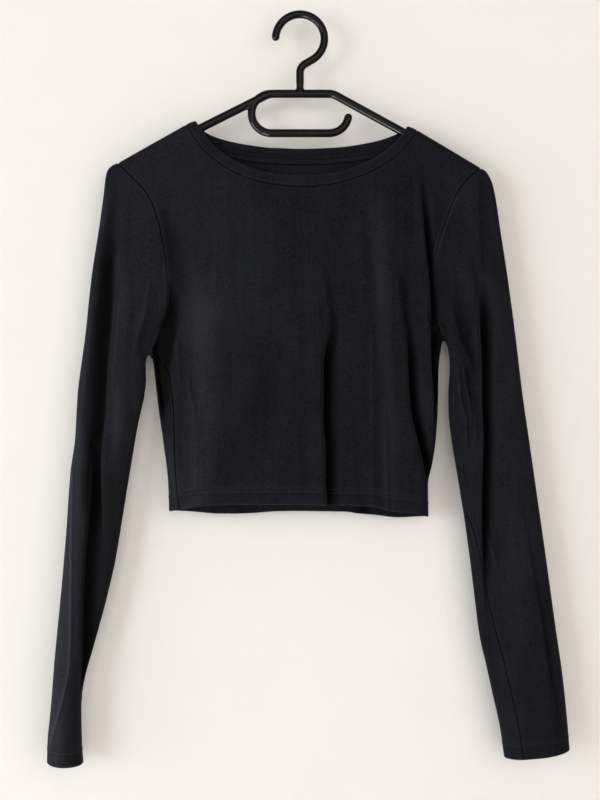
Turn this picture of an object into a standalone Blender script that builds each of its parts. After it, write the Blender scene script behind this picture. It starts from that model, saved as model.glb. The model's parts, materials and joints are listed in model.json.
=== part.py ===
"""A long-sleeved crop top of black jersey on a moulded tube hanger.

Frame: metres, +Z up, the front faces -Y. The origin is the inside of the hook's crown, where
the hanger rests on whatever holds it up. Left and right are the wearer's, so left is +X.

The tables below are in millimetres. "across" runs along +X from the hanger's centre line and
"drop" runs down from the origin. Each piece of cloth is a grid of points on the garment's outer
skin. Neighbouring pieces share their seam's points, each is then drawn back by half the seam gap,
and the wall goes inwards from there along normals that the neighbours share too.
"""

import math
from collections import defaultdict, namedtuple

import bmesh
import bpy
import numpy as np
from mathutils import Vector

MM = 0.001

FRONT = 1
BACK = -1
RIGHT = -1
LEFT = 1

# Cloth
JERSEY_WALL = 1.5
BAND_WALL = 2.4
BAND_WIDTH = 11.0
BAND_PROUD = 0.4
TAPE_WALL = 1.2
TAPE_ABOVE_SEAM = 2.5
TAPE_BELOW_SEAM = 7.0
SEAM_GAP = 0.35

# Hanger: tube diameters and centre lines. The bar's corners are where the arms' lines meet it.
RAIL_TUBE = 7.8
BAR_DROP = 75.8
BAR_CORNER = {RIGHT: -30.8, LEFT: 32.8}
BAR_BEND = 16.0
ARM_END_INSET = 3.0
LOOP_TUBE = 7.6
LOOP_DROP = 115.2
LOOP_TOP = -27.0
LOOP_CENTRE = {RIGHT: -28.7, LEFT: 29.0}
LOOP_TIP_ANGLE = 12
HOOK_TUBE = 7.4
HOOK_RADIUS = 23.7
HOOK_TIP_ANGLE = 184
HOOK_LEAVES_ANGLE = 420
STEM_BEND = 10.0
TUBE_SIDES = 12

BLACK_JERSEY = (0.013, 0.014, 0.017)
BLACK_TAPE = (0.012, 0.013, 0.016)
BLACK_PLASTIC = (0.012, 0.012, 0.013)
CLOTH_ROUGHNESS = 0.9
PLASTIC_ROUGHNESS = 0.35

# The ridge that the garment makes over the hanger's arms: shoulder tip to neck point, per side.
Ridge = namedtuple("Ridge", "tip_across tip_drop neck_across neck_drop")
RIDGES = {
    RIGHT: Ridge(-181.5, 145.0, -114.5, 107.2),
    LEFT: Ridge(180.5, 150.2, 117.5, 112.6),
}
RIDGE_SLOPE_AT_NECK = 0.42
# Cosine of the ridge's slope, from a drop below it to a distance square to it.
SQUARE_TO_RIDGE = 0.87

# The body below the ridge: half its thickness at the folded side edges, the height of the
# middle plane between front and back, and how much fuller each panel is at its middle.
Depth = namedtuple("Depth", "drop radius middle front back")
DEPTHS = [
    Depth(100, 6.8, 0.0, 0.0, 0.0),
    Depth(150, 6.9, 0.0, 1.5, 0.5),
    Depth(200, 7.2, -0.2, 3.0, 1.0),
    Depth(320, 8.0, -0.5, 5.0, 1.5),
    Depth(400, 9.0, -1.0, 6.0, 2.0),
    Depth(500, 11.0, -2.0, 6.5, 2.5),
]

# The folded side edges as seen from the front.
Edge = namedtuple("Edge", "drop across")
EDGES = {
    RIGHT: [
        Edge(100, -215), Edge(145, -195), Edge(200, -168), Edge(250, -156), Edge(300, -151),
        Edge(326, -150.6), Edge(345, -146.8), Edge(362, -144.7), Edge(392, -141.1),
        Edge(422, -136.8), Edge(467, -131.5), Edge(500, -130.5),
    ],
    LEFT: [
        Edge(100, 215), Edge(145, 195), Edge(200, 165), Edge(250, 152), Edge(300, 146),
        Edge(320, 144.6), Edge(338, 140.2), Edge(352, 138.6), Edge(392, 137.6),
        Edge(422, 135.6), Edge(445, 132.2), Edge(467, 127.8), Edge(500, 128.3),
    ],
}

# The side seams, from the underarm points, which lie on the folded edges. The body hangs a little
# turned, so the right seam runs onto the front face and the left one onto the back face. "across"
# is measured on that face.
UNDERARM_DROP = {RIGHT: 338.0, LEFT: 331.5}
SEAM_FACE = {RIGHT: FRONT, LEFT: BACK}
SIDE_SEAMS = {
    RIGHT: [
        Edge(342, -143.0), Edge(347, -134.5), Edge(357, -129.5),
        Edge(370, -127.5), Edge(400, -125), Edge(453, -123.5), Edge(491, -119),
    ],
    LEFT: [
        Edge(335.5, 136.0), Edge(341, 127.5), Edge(352, 122.5),
        Edge(370, 121), Edge(400, 120), Edge(453, 117), Edge(499, 114),
    ],
}

# The armhole seams, from the shoulder tip to just above the underarm point.
Point = namedtuple("Point", "across drop")
ARMHOLES = {
    (FRONT, RIGHT): [
        Point(-181.5, 145.0), Point(-170.5, 157), Point(-159.5, 167.5), Point(-149.5, 181),
        Point(-142.5, 198), Point(-136.5, 224), Point(-132.5, 251), Point(-131.5, 276),
        Point(-133.5, 297), Point(-138.0, 314), Point(-145.0, 328),
    ],
    (FRONT, LEFT): [
        Point(180.5, 150.2), Point(169, 160), Point(157, 175), Point(147.5, 197),
        Point(139, 222), Point(133.8, 243), Point(132.5, 265), Point(132.5, 287),
        Point(135.0, 302), Point(138.0, 313), Point(141.5, 323),
    ],
    (BACK, RIGHT): [
        Point(-181.5, 145.0), Point(-169.5, 155), Point(-157.5, 166), Point(-146.5, 182),
        Point(-138.5, 202), Point(-133.5, 230), Point(-131.0, 258), Point(-131.5, 285),
        Point(-134.5, 305), Point(-139.5, 319), Point(-146.0, 330),
    ],
    (BACK, LEFT): [
        Point(180.5, 150.2), Point(168.5, 159), Point(156, 171), Point(145, 189),
        Point(136.5, 212), Point(131.5, 238), Point(129.5, 262), Point(130, 284),
        Point(132.5, 301), Point(135.5, 313), Point(140.0, 323),
    ],
}

# The neck seams, right neck point to left neck point.
NECK_SEAMS = {
    FRONT: [
        Point(-114.5, 107.2), Point(-107.0, 119.5), Point(-93.5, 136), Point(-72.5, 152),
        Point(-44.5, 164), Point(-16.5, 169), Point(0.5, 170), Point(29.5, 168),
        Point(60.5, 159.5), Point(88.5, 145), Point(109.0, 125.5), Point(117.5, 112.6),
    ],
    BACK: [
        Point(-114.5, 107.2), Point(-107.5, 117), Point(-95.0, 125.5), Point(-76.5, 132),
        Point(-52.5, 136.8), Point(-27.5, 139.6), Point(2.5, 140.5), Point(33.5, 139.5),
        Point(59.5, 136.5), Point(83.5, 131.5), Point(105.0, 123.0), Point(117.5, 112.6),
    ],
}

# The hem's lower edge on each face.
HEMS = {
    FRONT: [
        Point(-131, 493), Point(-119, 490.5), Point(-94.5, 487), Point(-53.5, 485.5),
        Point(0.5, 485.5), Point(28.5, 486.3), Point(73.5, 487.5), Point(88.5, 492),
        Point(113.5, 494.5), Point(129, 498.5),
    ],
    BACK: [
        Point(-131, 493), Point(-111.5, 494), Point(-78.5, 496.5), Point(-45.5, 496),
        Point(-20.5, 494), Point(0.5, 494), Point(40.5, 494.5), Point(73.5, 497.5),
        Point(99.5, 500), Point(129, 498.5),
    ],
}

# The sleeves: outer edge and inner edge as seen from the front, shoulder to cuff.
OUTER_EDGES = {
    RIGHT: [
        Edge(145, -181.5), Edge(147.3, -187), Edge(152, -192), Edge(158, -194),
        Edge(176, -196.2), Edge(212, -201.3), Edge(257, -208.2), Edge(317, -214.6),
        Edge(377, -222.3), Edge(422, -225), Edge(452, -229.2), Edge(512, -233.5),
        Edge(572, -238.5), Edge(632, -244.2), Edge(692, -249.0), Edge(722, -252), Edge(743, -252.6),
    ],
    LEFT: [
        Edge(150, 180.5), Edge(153, 185.4), Edge(158, 189), Edge(164, 191.8),
        Edge(176, 194.8), Edge(212, 200.4), Edge(257, 207.3), Edge(317, 215.3),
        Edge(377, 222.5), Edge(422, 229.0), Edge(482, 237.6), Edge(542, 246.2),
        Edge(602, 254.4), Edge(662, 262.9), Edge(707, 267.4), Edge(731, 269.4),
    ],
}
INNER_EDGES = {
    RIGHT: [
        Edge(334, -150.5), Edge(339, -153.3), Edge(347, -154.2), Edge(362, -154),
        Edge(377, -155.5), Edge(407, -162), Edge(452, -169.7), Edge(497, -177.0),
        Edge(542, -184.5), Edge(587, -195), Edge(632, -207.4), Edge(662, -215.6),
        Edge(677, -218), Edge(692, -218.8), Edge(722, -218.3), Edge(745, -216.8),
    ],
    LEFT: [
        Edge(326, 144), Edge(332, 147.6), Edge(342, 150.0), Edge(352, 149.9),
        Edge(377, 148.3), Edge(392, 148.5), Edge(422, 151.5), Edge(452, 156.4),
        Edge(497, 163.8), Edge(542, 170.0), Edge(587, 175.5), Edge(617, 179.4),
        Edge(647, 186.2), Edge(677, 192.8), Edge(707, 199.5), Edge(739, 204.2),
    ],
}

# The sleeves' thickness along their length (0 shoulder, 1 cuff). The right sleeve is twisted,
# so lower down its broad way lies front to back. "apex" is where, from the outer edge to the
# inner edge, the front stands furthest out, and "round" is how boxy the section is.
Section = namedtuple("Section", "along front back apex round")
SECTIONS = {
    RIGHT: [
        Section(0.00, 7.0, 7.0, 0.50, 2.4), Section(0.08, 8.5, 8.0, 0.50, 2.4),
        Section(0.25, 10.5, 9.0, 0.50, 2.3), Section(0.45, 12.5, 10.0, 0.45, 2.1),
        Section(0.65, 16.0, 12.0, 0.38, 1.9), Section(0.85, 20.0, 15.0, 0.42, 2.0),
        Section(1.00, 22.0, 18.0, 0.50, 2.0),
    ],
    LEFT: [
        Section(0.00, 7.0, 7.0, 0.50, 2.4), Section(0.08, 8.5, 8.0, 0.50, 2.4),
        Section(0.25, 10.5, 9.0, 0.50, 2.4), Section(0.45, 11.5, 10.0, 0.50, 2.4),
        Section(0.65, 13.0, 12.0, 0.50, 2.3), Section(0.85, 17.0, 14.0, 0.50, 2.1),
        Section(1.00, 21.0, 17.0, 0.50, 2.0),
    ],
}
SLEEVE_LENGTH = 600.0
# How far down a sleeve (0 shoulder, 1 cuff) its rings still follow the armhole's curve: at the
# outer edge, and at the inner edge, where the sleeve and the body part at once. The change from
# one to the other lies between two places across the sleeve (0 outer edge, 1 inner edge).
HEAD_REACH = 0.24
UNDERARM_REACH = 0.022
REACH_CHANGE = (0.55, 0.95)
# Across the sleeve, from here on the rings leave the armhole sideways before they turn down.
SIDEWAYS_FROM = 0.3
# Next to the sleeve's outer edge, a ring's points are spread this much further round the fold.
OUTER_SPREAD = 0.05
OUTER_SPREAD_OVER = 0.03
# The sleeve's folds start this far down it, and stay on the flat of the front and back.
FOLDS_FROM = 0.03
FLAT_OF_SLEEVE = (0.31, 0.94)

# The largest folds. "height" is how far the crest stands out of the cloth, or in if negative,
# and "half_width" is from the crest to level cloth. Each fold fades out over its two ends.
Fold = namedtuple("Fold", "face half_width height points")
FOLDS = [
    # beside the left armhole, and the ridge next to it
    Fold(FRONT, 11, -4.0, [(121.5, 132), (124, 175), (128, 220), (131, 262), (132, 300)]),
    Fold(FRONT, 13, 2.5, [(111, 140), (111, 190), (113, 240), (114, 300)]),
    # from the chest down to the hem
    Fold(FRONT, 11, -7.0, [(24, 245), (28, 300), (28, 350), (25, 405), (28, 450), (30, 520)]),
    Fold(FRONT, 12, -3.5, [(106, 290), (110, 350), (115, 395), (124, 445)]),
    Fold(FRONT, 15, 4.0, [(86, 290), (86, 370), (86, 440), (88, 515)]),
    # long diagonal across the right half
    Fold(FRONT, 20, -2.5, [(-30, 325), (-42, 379), (-77, 450)]),
    # beside the right armhole
    Fold(FRONT, 12, -3.0, [(-139, 190), (-128, 270), (-132, 325)]),
    # back panel
    Fold(BACK, 18, -3.5, [(-104, 150), (-108, 230), (-100, 330), (-96, 410)]),
    Fold(BACK, 16, -4.0, [(60, 270), (52, 350), (46, 430), (44, 520)]),
    Fold(BACK, 20, 3.0, [(-40, 330), (-30, 400), (-34, 520)]),
    Fold(BACK, 18, -3.0, [(112, 200), (108, 280), (92, 360)]),
    # sleeves, front
    Fold(FRONT, 13, -5.0, [(-190, 200), (-195, 285), (-197, 350), (-200, 430), (-209, 520),
                           (-216, 600), (-217, 670)]),
    Fold(FRONT, 13, -4.5, [(181, 180), (182, 255), (183, 330), (185, 410), (183, 500)]),
    Fold(FRONT, 12, 3.5, [(220, 470), (232, 550), (245, 620), (256, 700)]),
    # sleeves, back
    Fold(BACK, 15, -4.0, [(-176, 230), (-184, 320), (-197, 430), (-214, 560)]),
    Fold(BACK, 15, -4.0, [(196, 240), (204, 340), (210, 450), (222, 560)]),
]
FOLD_FADE = 40.0
# Folds of the body die out where its face turns past this cosine towards the side edge.
FLAT_OF_BODY = (0.7, 1.0)

# How finely each piece is divided. Rows close in on the ridge and the underarm, and columns on
# the neck points and the side edges, where the cloth turns over.
ARMHOLE_STEPS = [0, .004, .015, .034, .08, .16, .27, .39, .52, .65, .77, .86, .925, .965, 1]
SIDE_STEPS = [.015, .035, .065, .12, .20, .30, .44, .61, .80, 1]
UNDERARM_ROW = 0.52
# How quickly the bend of a panel's side borders dies away towards its middle.
BEND_DECAY = 3
# Near each end of a neck seam, over this share of it, the neckband turns along the ridge.
NECK_POINT_SHARE = 0.06
SHOULDER_STEPS = [0, .020, .045, .070, .100, .145, .210]
NECK_STEPS = {
    FRONT: [0, .013, .028, .055, .10, .16, .23, .31, .40, .50,
            .60, .69, .77, .84, .90, .945, .972, .987, 1],
    BACK: [0, .014, .031, .062, .13, .23, .35, .50, .65, .77, .87, .938, .969, .986, 1],
}
SLEEVE_STEPS = [0, .004, .012, .028, .055, .095, .15, .22, .30, .39, .49, .59, .69, .79, .90, 1]
TAPE_STEPS = [.09, .13, .23, .35, .50, .65, .77, .87, .91]


# ---------------------------------------------------------------- curves

def rising(keys, values):
    """Smooth curve through values at rising keys that never overshoots them (PCHIP)."""
    keys = np.asarray(keys, float)
    values = np.asarray(values, float)
    step = np.diff(keys)
    slope = np.diff(values) / step
    tangent = np.zeros_like(values)
    tangent[0] = slope[0]
    tangent[-1] = slope[-1]
    same_way = slope[:-1] * slope[1:] > 0
    before = 2 * step[1:] + step[:-1]
    after = step[1:] + 2 * step[:-1]
    safe = np.where(same_way, slope[:-1], 1), np.where(same_way, slope[1:], 1)
    mean = (before + after) / (before / safe[0] + after / safe[1])
    tangent[1:-1] = np.where(same_way, mean, 0)

    def value(key):
        key = np.clip(np.asarray(key, float), keys[0], keys[-1])
        i = np.clip(np.searchsorted(keys, key, side="right") - 1, 0, len(step) - 1)
        t = (key - keys[i]) / step[i]
        return (
            values[i] * (1 + 2 * t) * (1 - t) ** 2
            + values[i + 1] * t * t * (3 - 2 * t)
            + step[i] * t * (1 - t) * (tangent[i] * (1 - t) - tangent[i + 1] * t)
        )

    return value


def column(rows, name, key="drop"):
    """One named column of a table as a smooth function of its key column."""
    return rising([getattr(row, key) for row in rows], [getattr(row, name) for row in rows])


def through(points):
    """Smooth curve through points, from 0 to 1 along its length."""
    points = np.array(points, float)
    run = np.concatenate([[0], np.cumsum(np.linalg.norm(np.diff(points, axis=0), axis=1))])
    across = rising(run, points[:, 0])
    drop = rising(run, points[:, 1])
    return lambda t: np.stack([across(np.asarray(t) * run[-1]), drop(np.asarray(t) * run[-1])], -1)


def ease(value, start=0, end=1):
    """Smooth step from 0 at start to 1 at end."""
    share = np.clip((value - start) / (end - start), 0, 1)
    return share * share * (3 - 2 * share)


RADIUS = column(DEPTHS, "radius")
MIDDLE = column(DEPTHS, "middle")
FULLNESS = {FRONT: column(DEPTHS, "front"), BACK: column(DEPTHS, "back")}
EDGE = {side: column(rows, "across") for side, rows in EDGES.items()}
HEM = {face: column(rows, "drop", key="across") for face, rows in HEMS.items()}


# ---------------------------------------------------------------- the garment's outer skin

def fold_relief(face, across, drop):
    """How far the folds of one face push the cloth out at these points."""
    total = np.zeros(np.broadcast(across, drop).shape)
    for fold in FOLDS:
        if fold.face != face:
            continue
        points = np.array(fold.points, float)
        starts, ends = points[:-1], points[1:]
        lengths = np.linalg.norm(ends - starts, axis=1)
        runs = np.concatenate([[0], np.cumsum(lengths)])
        nearest = np.full(total.shape, np.inf)
        place = np.zeros(total.shape)
        for i, length in enumerate(lengths):
            heading = (ends[i] - starts[i]) / length
            dx, dz = across - starts[i][0], drop - starts[i][1]
            t = np.clip(dx * heading[0] + dz * heading[1], 0, length)
            away = np.hypot(dx - t * heading[0], dz - t * heading[1])
            closer = away < nearest
            place = np.where(closer, runs[i] + t, place)
            nearest = np.where(closer, away, nearest)
        shape = (1 + np.cos(math.pi * np.clip(nearest / fold.half_width, 0, 1))) / 2
        fade = min(FOLD_FADE, runs[-1] / 3)
        total += fold.height * shape * ease(place, 0, fade) * ease(runs[-1] - place, 0, fade)
    return total


def ridge_drop(across):
    """Drop of the ridge over the hanger's arms, and on towards the middle of the neck."""
    result = np.zeros(np.shape(across))
    for side, ridge in RIDGES.items():
        slope = (ridge.tip_drop - ridge.neck_drop) / abs(ridge.tip_across - ridge.neck_across)
        out = np.abs(across) - abs(ridge.neck_across)
        line = ridge.neck_drop + np.where(out > 0, slope, RIDGE_SLOPE_AT_NECK) * out
        result = np.where(np.sign(across) == side, line, result)
    return result


def other_face(flat, drop, side):
    """A place measured on one face, round the folded side edge, on the other face's measure."""
    radius = RADIUS(drop)
    turn = EDGE[side](drop) - side * radius
    return 2 * turn + side * math.pi * radius - flat


def edge_place(side, drop):
    """Where the folded side edge is, measured flat on either face."""
    radius = RADIUS(drop)
    return EDGE[side](drop) + side * (math.pi / 2 - 1) * radius


def skin(face, flat, drop):
    """Outer skin of the body at a place measured flat on one face, as x, y, z."""
    flat, drop = np.broadcast_arrays(np.asarray(flat, float), np.asarray(drop, float))
    radius = RADIUS(drop)
    x = flat.copy()
    sideways = np.zeros(flat.shape)
    for side in (RIGHT, LEFT):
        turn = EDGE[side](drop) - side * radius
        past = side * (flat - turn)
        angle = np.clip(past / radius, 0, math.pi)
        beyond = np.clip(past - math.pi * radius, 0, None)
        bent = turn + side * (radius * np.sin(angle) - beyond)
        x = np.where(past > 0, bent, x)
        sideways = np.where(past > 0, angle, sideways)
    facing = np.cos(sideways)
    now_face = np.where(facing >= 0, face, -face)
    level = (x - (EDGE[RIGHT](drop) + EDGE[LEFT](drop)) / 2) / (
        (EDGE[LEFT](drop) - EDGE[RIGHT](drop)) / 2 - radius
    )
    middle = np.clip(1 - level ** 2, 0, 1) ** 2 * np.abs(facing)
    fuller = np.where(now_face == FRONT, FULLNESS[FRONT](drop), FULLNESS[BACK](drop)) * middle
    flat_part = ease(np.abs(facing), *FLAT_OF_BODY)
    folds = np.where(now_face == FRONT, fold_relief(FRONT, x, drop), fold_relief(BACK, x, drop))
    below = np.clip((drop - ridge_drop(x)) * SQUARE_TO_RIDGE / radius, 0, 1)
    arch = np.sqrt(1 - (1 - below) ** 2)
    standing = arch * (radius * facing * face + now_face * (fuller + folds * flat_part))
    return np.stack([x, MIDDLE(drop) - standing, -drop], -1)


def neck_place(face, share, beside):
    """Places beside the neck seam, measured on the face, towards the opening if positive."""
    curve = through(NECK_SEAMS[face])
    step = 0.002
    heading = curve(np.clip(share + step, 0, 1)) - curve(np.clip(share - step, 0, 1))
    heading /= np.linalg.norm(heading, axis=-1, keepdims=True)
    to_opening = np.stack([heading[..., 1], -heading[..., 0]], -1)
    for end, side in ((0, RIGHT), (1, LEFT)):
        uphill = np.array([-side, -RIDGE_SLOPE_AT_NECK]) / math.hypot(1, RIDGE_SLOPE_AT_NECK)
        near = 1 - ease(np.abs(share - end), 0, NECK_POINT_SHARE)[..., None]
        to_opening = to_opening * (1 - near) + uphill * near
    return curve(share) + beside[..., None] * to_opening


# ---------------------------------------------------------------- panels

def row_steps():
    rows = [UNDERARM_ROW * step for step in ARMHOLE_STEPS]
    rows += [UNDERARM_ROW + (1 - UNDERARM_ROW) * step for step in SIDE_STEPS]
    return np.array(rows)


def column_steps(face):
    shoulder = SHOULDER_STEPS[-1]
    neck = [shoulder + (1 - 2 * shoulder) * step for step in NECK_STEPS[face][1:-1]]
    return np.array(SHOULDER_STEPS + neck + [1 - step for step in reversed(SHOULDER_STEPS)])


def side_border(face, side):
    """Armhole and side seam of a panel, top to bottom, measured flat on the panel's face."""
    top, bottom = UNDERARM_DROP[side], SIDE_SEAMS[side][-1].drop
    seam = column([Edge(top, edge_place(side, top))] + SIDE_SEAMS[side], "across")
    drops = top + (bottom - top) * np.array([0] + SIDE_STEPS)
    across = seam(drops)
    if face != SEAM_FACE[side]:
        across = other_face(across, drops, side)
    underarm = Point(across[0], drops[0])
    armhole = through(ARMHOLES[face, side] + [underarm])(np.array(ARMHOLE_STEPS))
    return np.concatenate([armhole, np.stack([across, drops], -1)[1:]])


def shoulder(side):
    """Shoulder tip and neck point."""
    ridge = RIDGES[side]
    return (np.array([ridge.tip_across, ridge.tip_drop]),
            np.array([ridge.neck_across, ridge.neck_drop]))


def top_border(face):
    """Shoulder seam, neck seam and shoulder seam of a panel, right to left."""
    share = np.array(SHOULDER_STEPS)[:, None] / SHOULDER_STEPS[-1]
    seams = {}
    for side in (RIGHT, LEFT):
        tip, neck_point = shoulder(side)
        seams[side] = tip + (neck_point - tip) * share
    neck = through(NECK_SEAMS[face])(np.array(NECK_STEPS[face]))
    return np.concatenate([seams[RIGHT], neck[1:-1], seams[LEFT][::-1]])


def hem_border(face, columns, right_end, left_end):
    """Hem of a panel between its two side seams, right to left."""
    flat = right_end[0] + (left_end[0] - right_end[0]) * columns
    drop = right_end[1] + (left_end[1] - right_end[1]) * columns
    for _ in range(2):
        shape = skin(face, flat, drop)
        on_front = shape[..., 1] < MIDDLE(drop)
        drop = np.where(on_front, HEM[FRONT](shape[..., 0]), HEM[BACK](shape[..., 0]))
    drop[0], drop[-1] = right_end[1], left_end[1]
    return np.stack([flat, drop], -1)


def panel(face):
    """Front or back: a grid of skin points, rows from the top, columns from right to left."""
    rows, columns = row_steps(), column_steps(face)
    left, right = side_border(face, LEFT), side_border(face, RIGHT)
    top = top_border(face)
    bottom = hem_border(face, columns, right[-1], left[-1])
    v, u = rows[:, None, None], columns[None, :, None]
    straight = (1 - v) * top + v * bottom
    right_bend = right[:, None] - straight[:, :1]
    left_bend = left[:, None] - straight[:, -1:]
    flat = straight + (1 - u) ** BEND_DECAY * right_bend + u ** BEND_DECAY * left_bend
    return skin(face, flat[..., 0], flat[..., 1])


# ---------------------------------------------------------------- sleeves

def ring_angles():
    """Angle of each point of a sleeve's ring: outer edge, over the front, inner edge, back."""
    steps = np.array(ARMHOLE_STEPS)
    eased = (1 - np.cos(math.pi * steps)) / 2
    spread = OUTER_SPREAD * (1 - np.exp(-steps / OUTER_SPREAD_OVER)) * (1 - steps) ** 4
    half = math.pi * (0.55 * steps + 0.45 * eased + spread)
    return np.concatenate([half, 2 * math.pi - half[::-1][1:]])


def edge_point(rows, along):
    """Point of a sleeve's outer or inner edge at a share of its length, as x and drop."""
    drop = rows[0].drop + (rows[-1].drop - rows[0].drop) * along
    return column(rows, "across")(drop), drop


def sleeve_ring(side, along, angles):
    """One ring of a sleeve as it would run on straight from the shoulder."""
    outer_x, outer_drop = edge_point(OUTER_EDGES[side], along)
    inner_x, inner_drop = edge_point(INNER_EDGES[side], along)
    front, back, apex, power = (
        column(SECTIONS[side], name, key="along")(along)
        for name in ("front", "back", "apex", "round")
    )
    chord = (1 - np.cos(angles)) / 2
    x = outer_x + (inner_x - outer_x) * chord
    drop = outer_drop + (inner_drop - outer_drop) * chord
    from_apex = np.where(chord < apex, (apex - chord) / apex, (chord - apex) / (1 - apex))
    thick = (1 - np.clip(from_apex, 0, 1) ** power) ** (1 / power)
    on_front = angles <= math.pi
    depth = np.where(on_front, front, -back) * thick
    folds = np.where(on_front, fold_relief(FRONT, x, drop), -fold_relief(BACK, x, drop))
    folded = ease(thick, *FLAT_OF_SLEEVE) * ease(along, 0, FOLDS_FROM)
    return np.stack([x, -(depth + folds * folded), -drop], -1)


def sleeve(side, front, back):
    """Sleeve rings from the armhole to the cuff, the first one being the panels' own points."""
    border = 0 if side == RIGHT else -1
    last = len(ARMHOLE_STEPS)
    armhole = np.concatenate([front[:last, border], back[:last, border][::-1][1:]])
    angles = ring_angles()
    chord = (1 - np.cos(angles)) / 2
    reach = HEAD_REACH + (UNDERARM_REACH - HEAD_REACH) * ease(chord, *REACH_CHANGE)
    sideways = ease(chord, 0, SIDEWAYS_FROM)[:, None]
    straight = sleeve_ring(side, 0, angles)
    bow = np.abs(armhole[:, 0] - straight[:, 0]) + SEAM_GAP
    rings = [armhole]
    for along in SLEEVE_STEPS[1:]:
        ring = sleeve_ring(side, along, angles)
        outwards = np.zeros(ring.shape)
        outwards[:, 0] = side * bow * (1 - np.exp(-along * SLEEVE_LENGTH / bow))
        held = 1 - ease(along, 0, reach)[:, None]
        head = armhole - straight + sideways * (outwards - (ring - straight))
        rings.append(ring + held * head)
    rings = np.array(rings)
    rings[:, -1] = rings[:, 0]
    return rings


# ---------------------------------------------------------------- neckband and tape

def neck_strip(face, steps, low, high):
    """Three lines of points beside the neck seam, between two distances from it."""
    beside, share = np.meshgrid(np.linspace(low, high, 3), steps, indexing="ij")
    places = neck_place(face, share, beside)
    return skin(face, places[..., 0], places[..., 1])


def neckband():
    """Neck seam to opening, round the front to the left and back again to the right."""
    front = neck_strip(FRONT, NECK_STEPS[FRONT], 0, BAND_WIDTH)
    back = neck_strip(BACK, NECK_STEPS[BACK][::-1], 0, BAND_WIDTH)
    return np.concatenate([front[:, :-1], back], axis=1)


def neck_tape():
    """Strip over the back neck seam, on the back panel's skin."""
    return neck_strip(BACK, TAPE_STEPS, -TAPE_BELOW_SEAM, TAPE_ABOVE_SEAM)


# ---------------------------------------------------------------- walls

def grid_normals(points, outward):
    """Area-weighted normals of a grid's points, before neighbours are added."""
    along_u = points[:, 1:] - points[:, :-1]
    along_v = points[1:] - points[:-1]
    face = outward * (
        np.cross(along_u[:-1], along_v[:, :-1]) + np.cross(along_u[1:], along_v[:, 1:])
    ) / 2
    total = np.zeros(points.shape)
    total[:-1, :-1] += face
    total[:-1, 1:] += face
    total[1:, :-1] += face
    total[1:, 1:] += face
    return total


def place_key(point):
    """A point to the nearest thousandth of a millimetre."""
    return tuple(int(round(value * 1000)) for value in point)


def shared_normals(pieces):
    """Unit normals for every piece, the same where pieces meet."""
    sums = defaultdict(lambda: np.zeros(3))
    raw = {name: grid_normals(piece.points, piece.outward) for name, piece in pieces.items()}
    for name, piece in pieces.items():
        for index in np.ndindex(piece.points.shape[:2]):
            sums[place_key(piece.points[index])] += raw[name][index]
    result = {}
    for name, piece in pieces.items():
        normals = np.zeros(piece.points.shape)
        for index in np.ndindex(piece.points.shape[:2]):
            total = sums[place_key(piece.points[index])]
            normals[index] = total / np.linalg.norm(total)
        result[name] = normals
    return result


def inward(edge, inside, closed):
    """Unit steps from a border's points into the grid, square to the border."""
    if closed:
        along = np.roll(edge[:-1], -1, axis=0) - np.roll(edge[:-1], 1, axis=0)
        along = np.concatenate([along, along[:1]])
    else:
        along = np.gradient(edge, axis=0)
    along /= np.linalg.norm(along, axis=-1, keepdims=True)
    across = inside - edge
    across -= (across * along).sum(-1, keepdims=True) * along
    return across / np.linalg.norm(across, axis=-1, keepdims=True)


def drawn_back(points, borders, closed):
    """The grid with the named borders moved inwards by half the seam gap."""
    lines = {
        "top": (np.s_[0], np.s_[1]),
        "right": (np.s_[:, 0], np.s_[:, 1]),
        "left": (np.s_[:, -1], np.s_[:, -2]),
    }
    moved = points.copy()
    for border in borders:
        edge, inside = lines[border]
        moved[edge] += inward(points[edge], points[inside], closed) * SEAM_GAP / 2
    return moved


def new_object(name, bm, material):
    mesh = bpy.data.meshes.new(name)
    bm.to_mesh(mesh)
    bm.free()
    mesh.shade_smooth()
    mesh.set_sharp_from_angle(angle=math.radians(40))
    mesh.materials.append(material)
    thing = bpy.data.objects.new(name, mesh)
    bpy.context.scene.collection.objects.link(thing)
    return thing


def grid_mesh(points):
    """Grid through rows of points, and the layer that keeps each vertex's place in them."""
    rows, columns = points.shape[:2]
    bm = bmesh.new()
    place = bm.verts.layers.int.new("place")
    bmesh.ops.create_grid(bm, x_segments=columns - 1, y_segments=rows - 1, size=1)
    for vert in bm.verts:
        row = round((1 - vert.co.y) / 2 * (rows - 1))
        col = round((1 + vert.co.x) / 2 * (columns - 1))
        vert[place] = row * columns + col
        vert.co = Vector(points[row, col]) * MM
    return bm, place


def wall(name, outer, inner, material, closed=False):
    """Solid wall between two grids of points."""
    bm, place = grid_mesh(outer)
    if closed:
        bmesh.ops.remove_doubles(bm, verts=bm.verts[:], dist=1e-6)
    extruded = bmesh.ops.extrude_face_region(bm, geom=bm.faces[:])
    for vert in (item for item in extruded["geom"] if isinstance(item, bmesh.types.BMVert)):
        row, col = divmod(vert[place], outer.shape[1])
        vert.co = Vector(inner[row, col]) * MM
    bmesh.ops.recalc_face_normals(bm, faces=bm.faces[:])
    bmesh.ops.triangulate(bm, faces=bm.faces[:])
    return new_object(name, bm, material)


# ---------------------------------------------------------------- hanger

def arc(centre, radius, start, end, steps):
    """Points round a centre in the hanger's plane, angles in degrees from +X towards down."""
    angles = np.radians(np.linspace(start, end, steps + 1))
    return [Point(centre[0] + radius * math.cos(a), centre[1] + radius * math.sin(a)) for a in angles]


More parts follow.
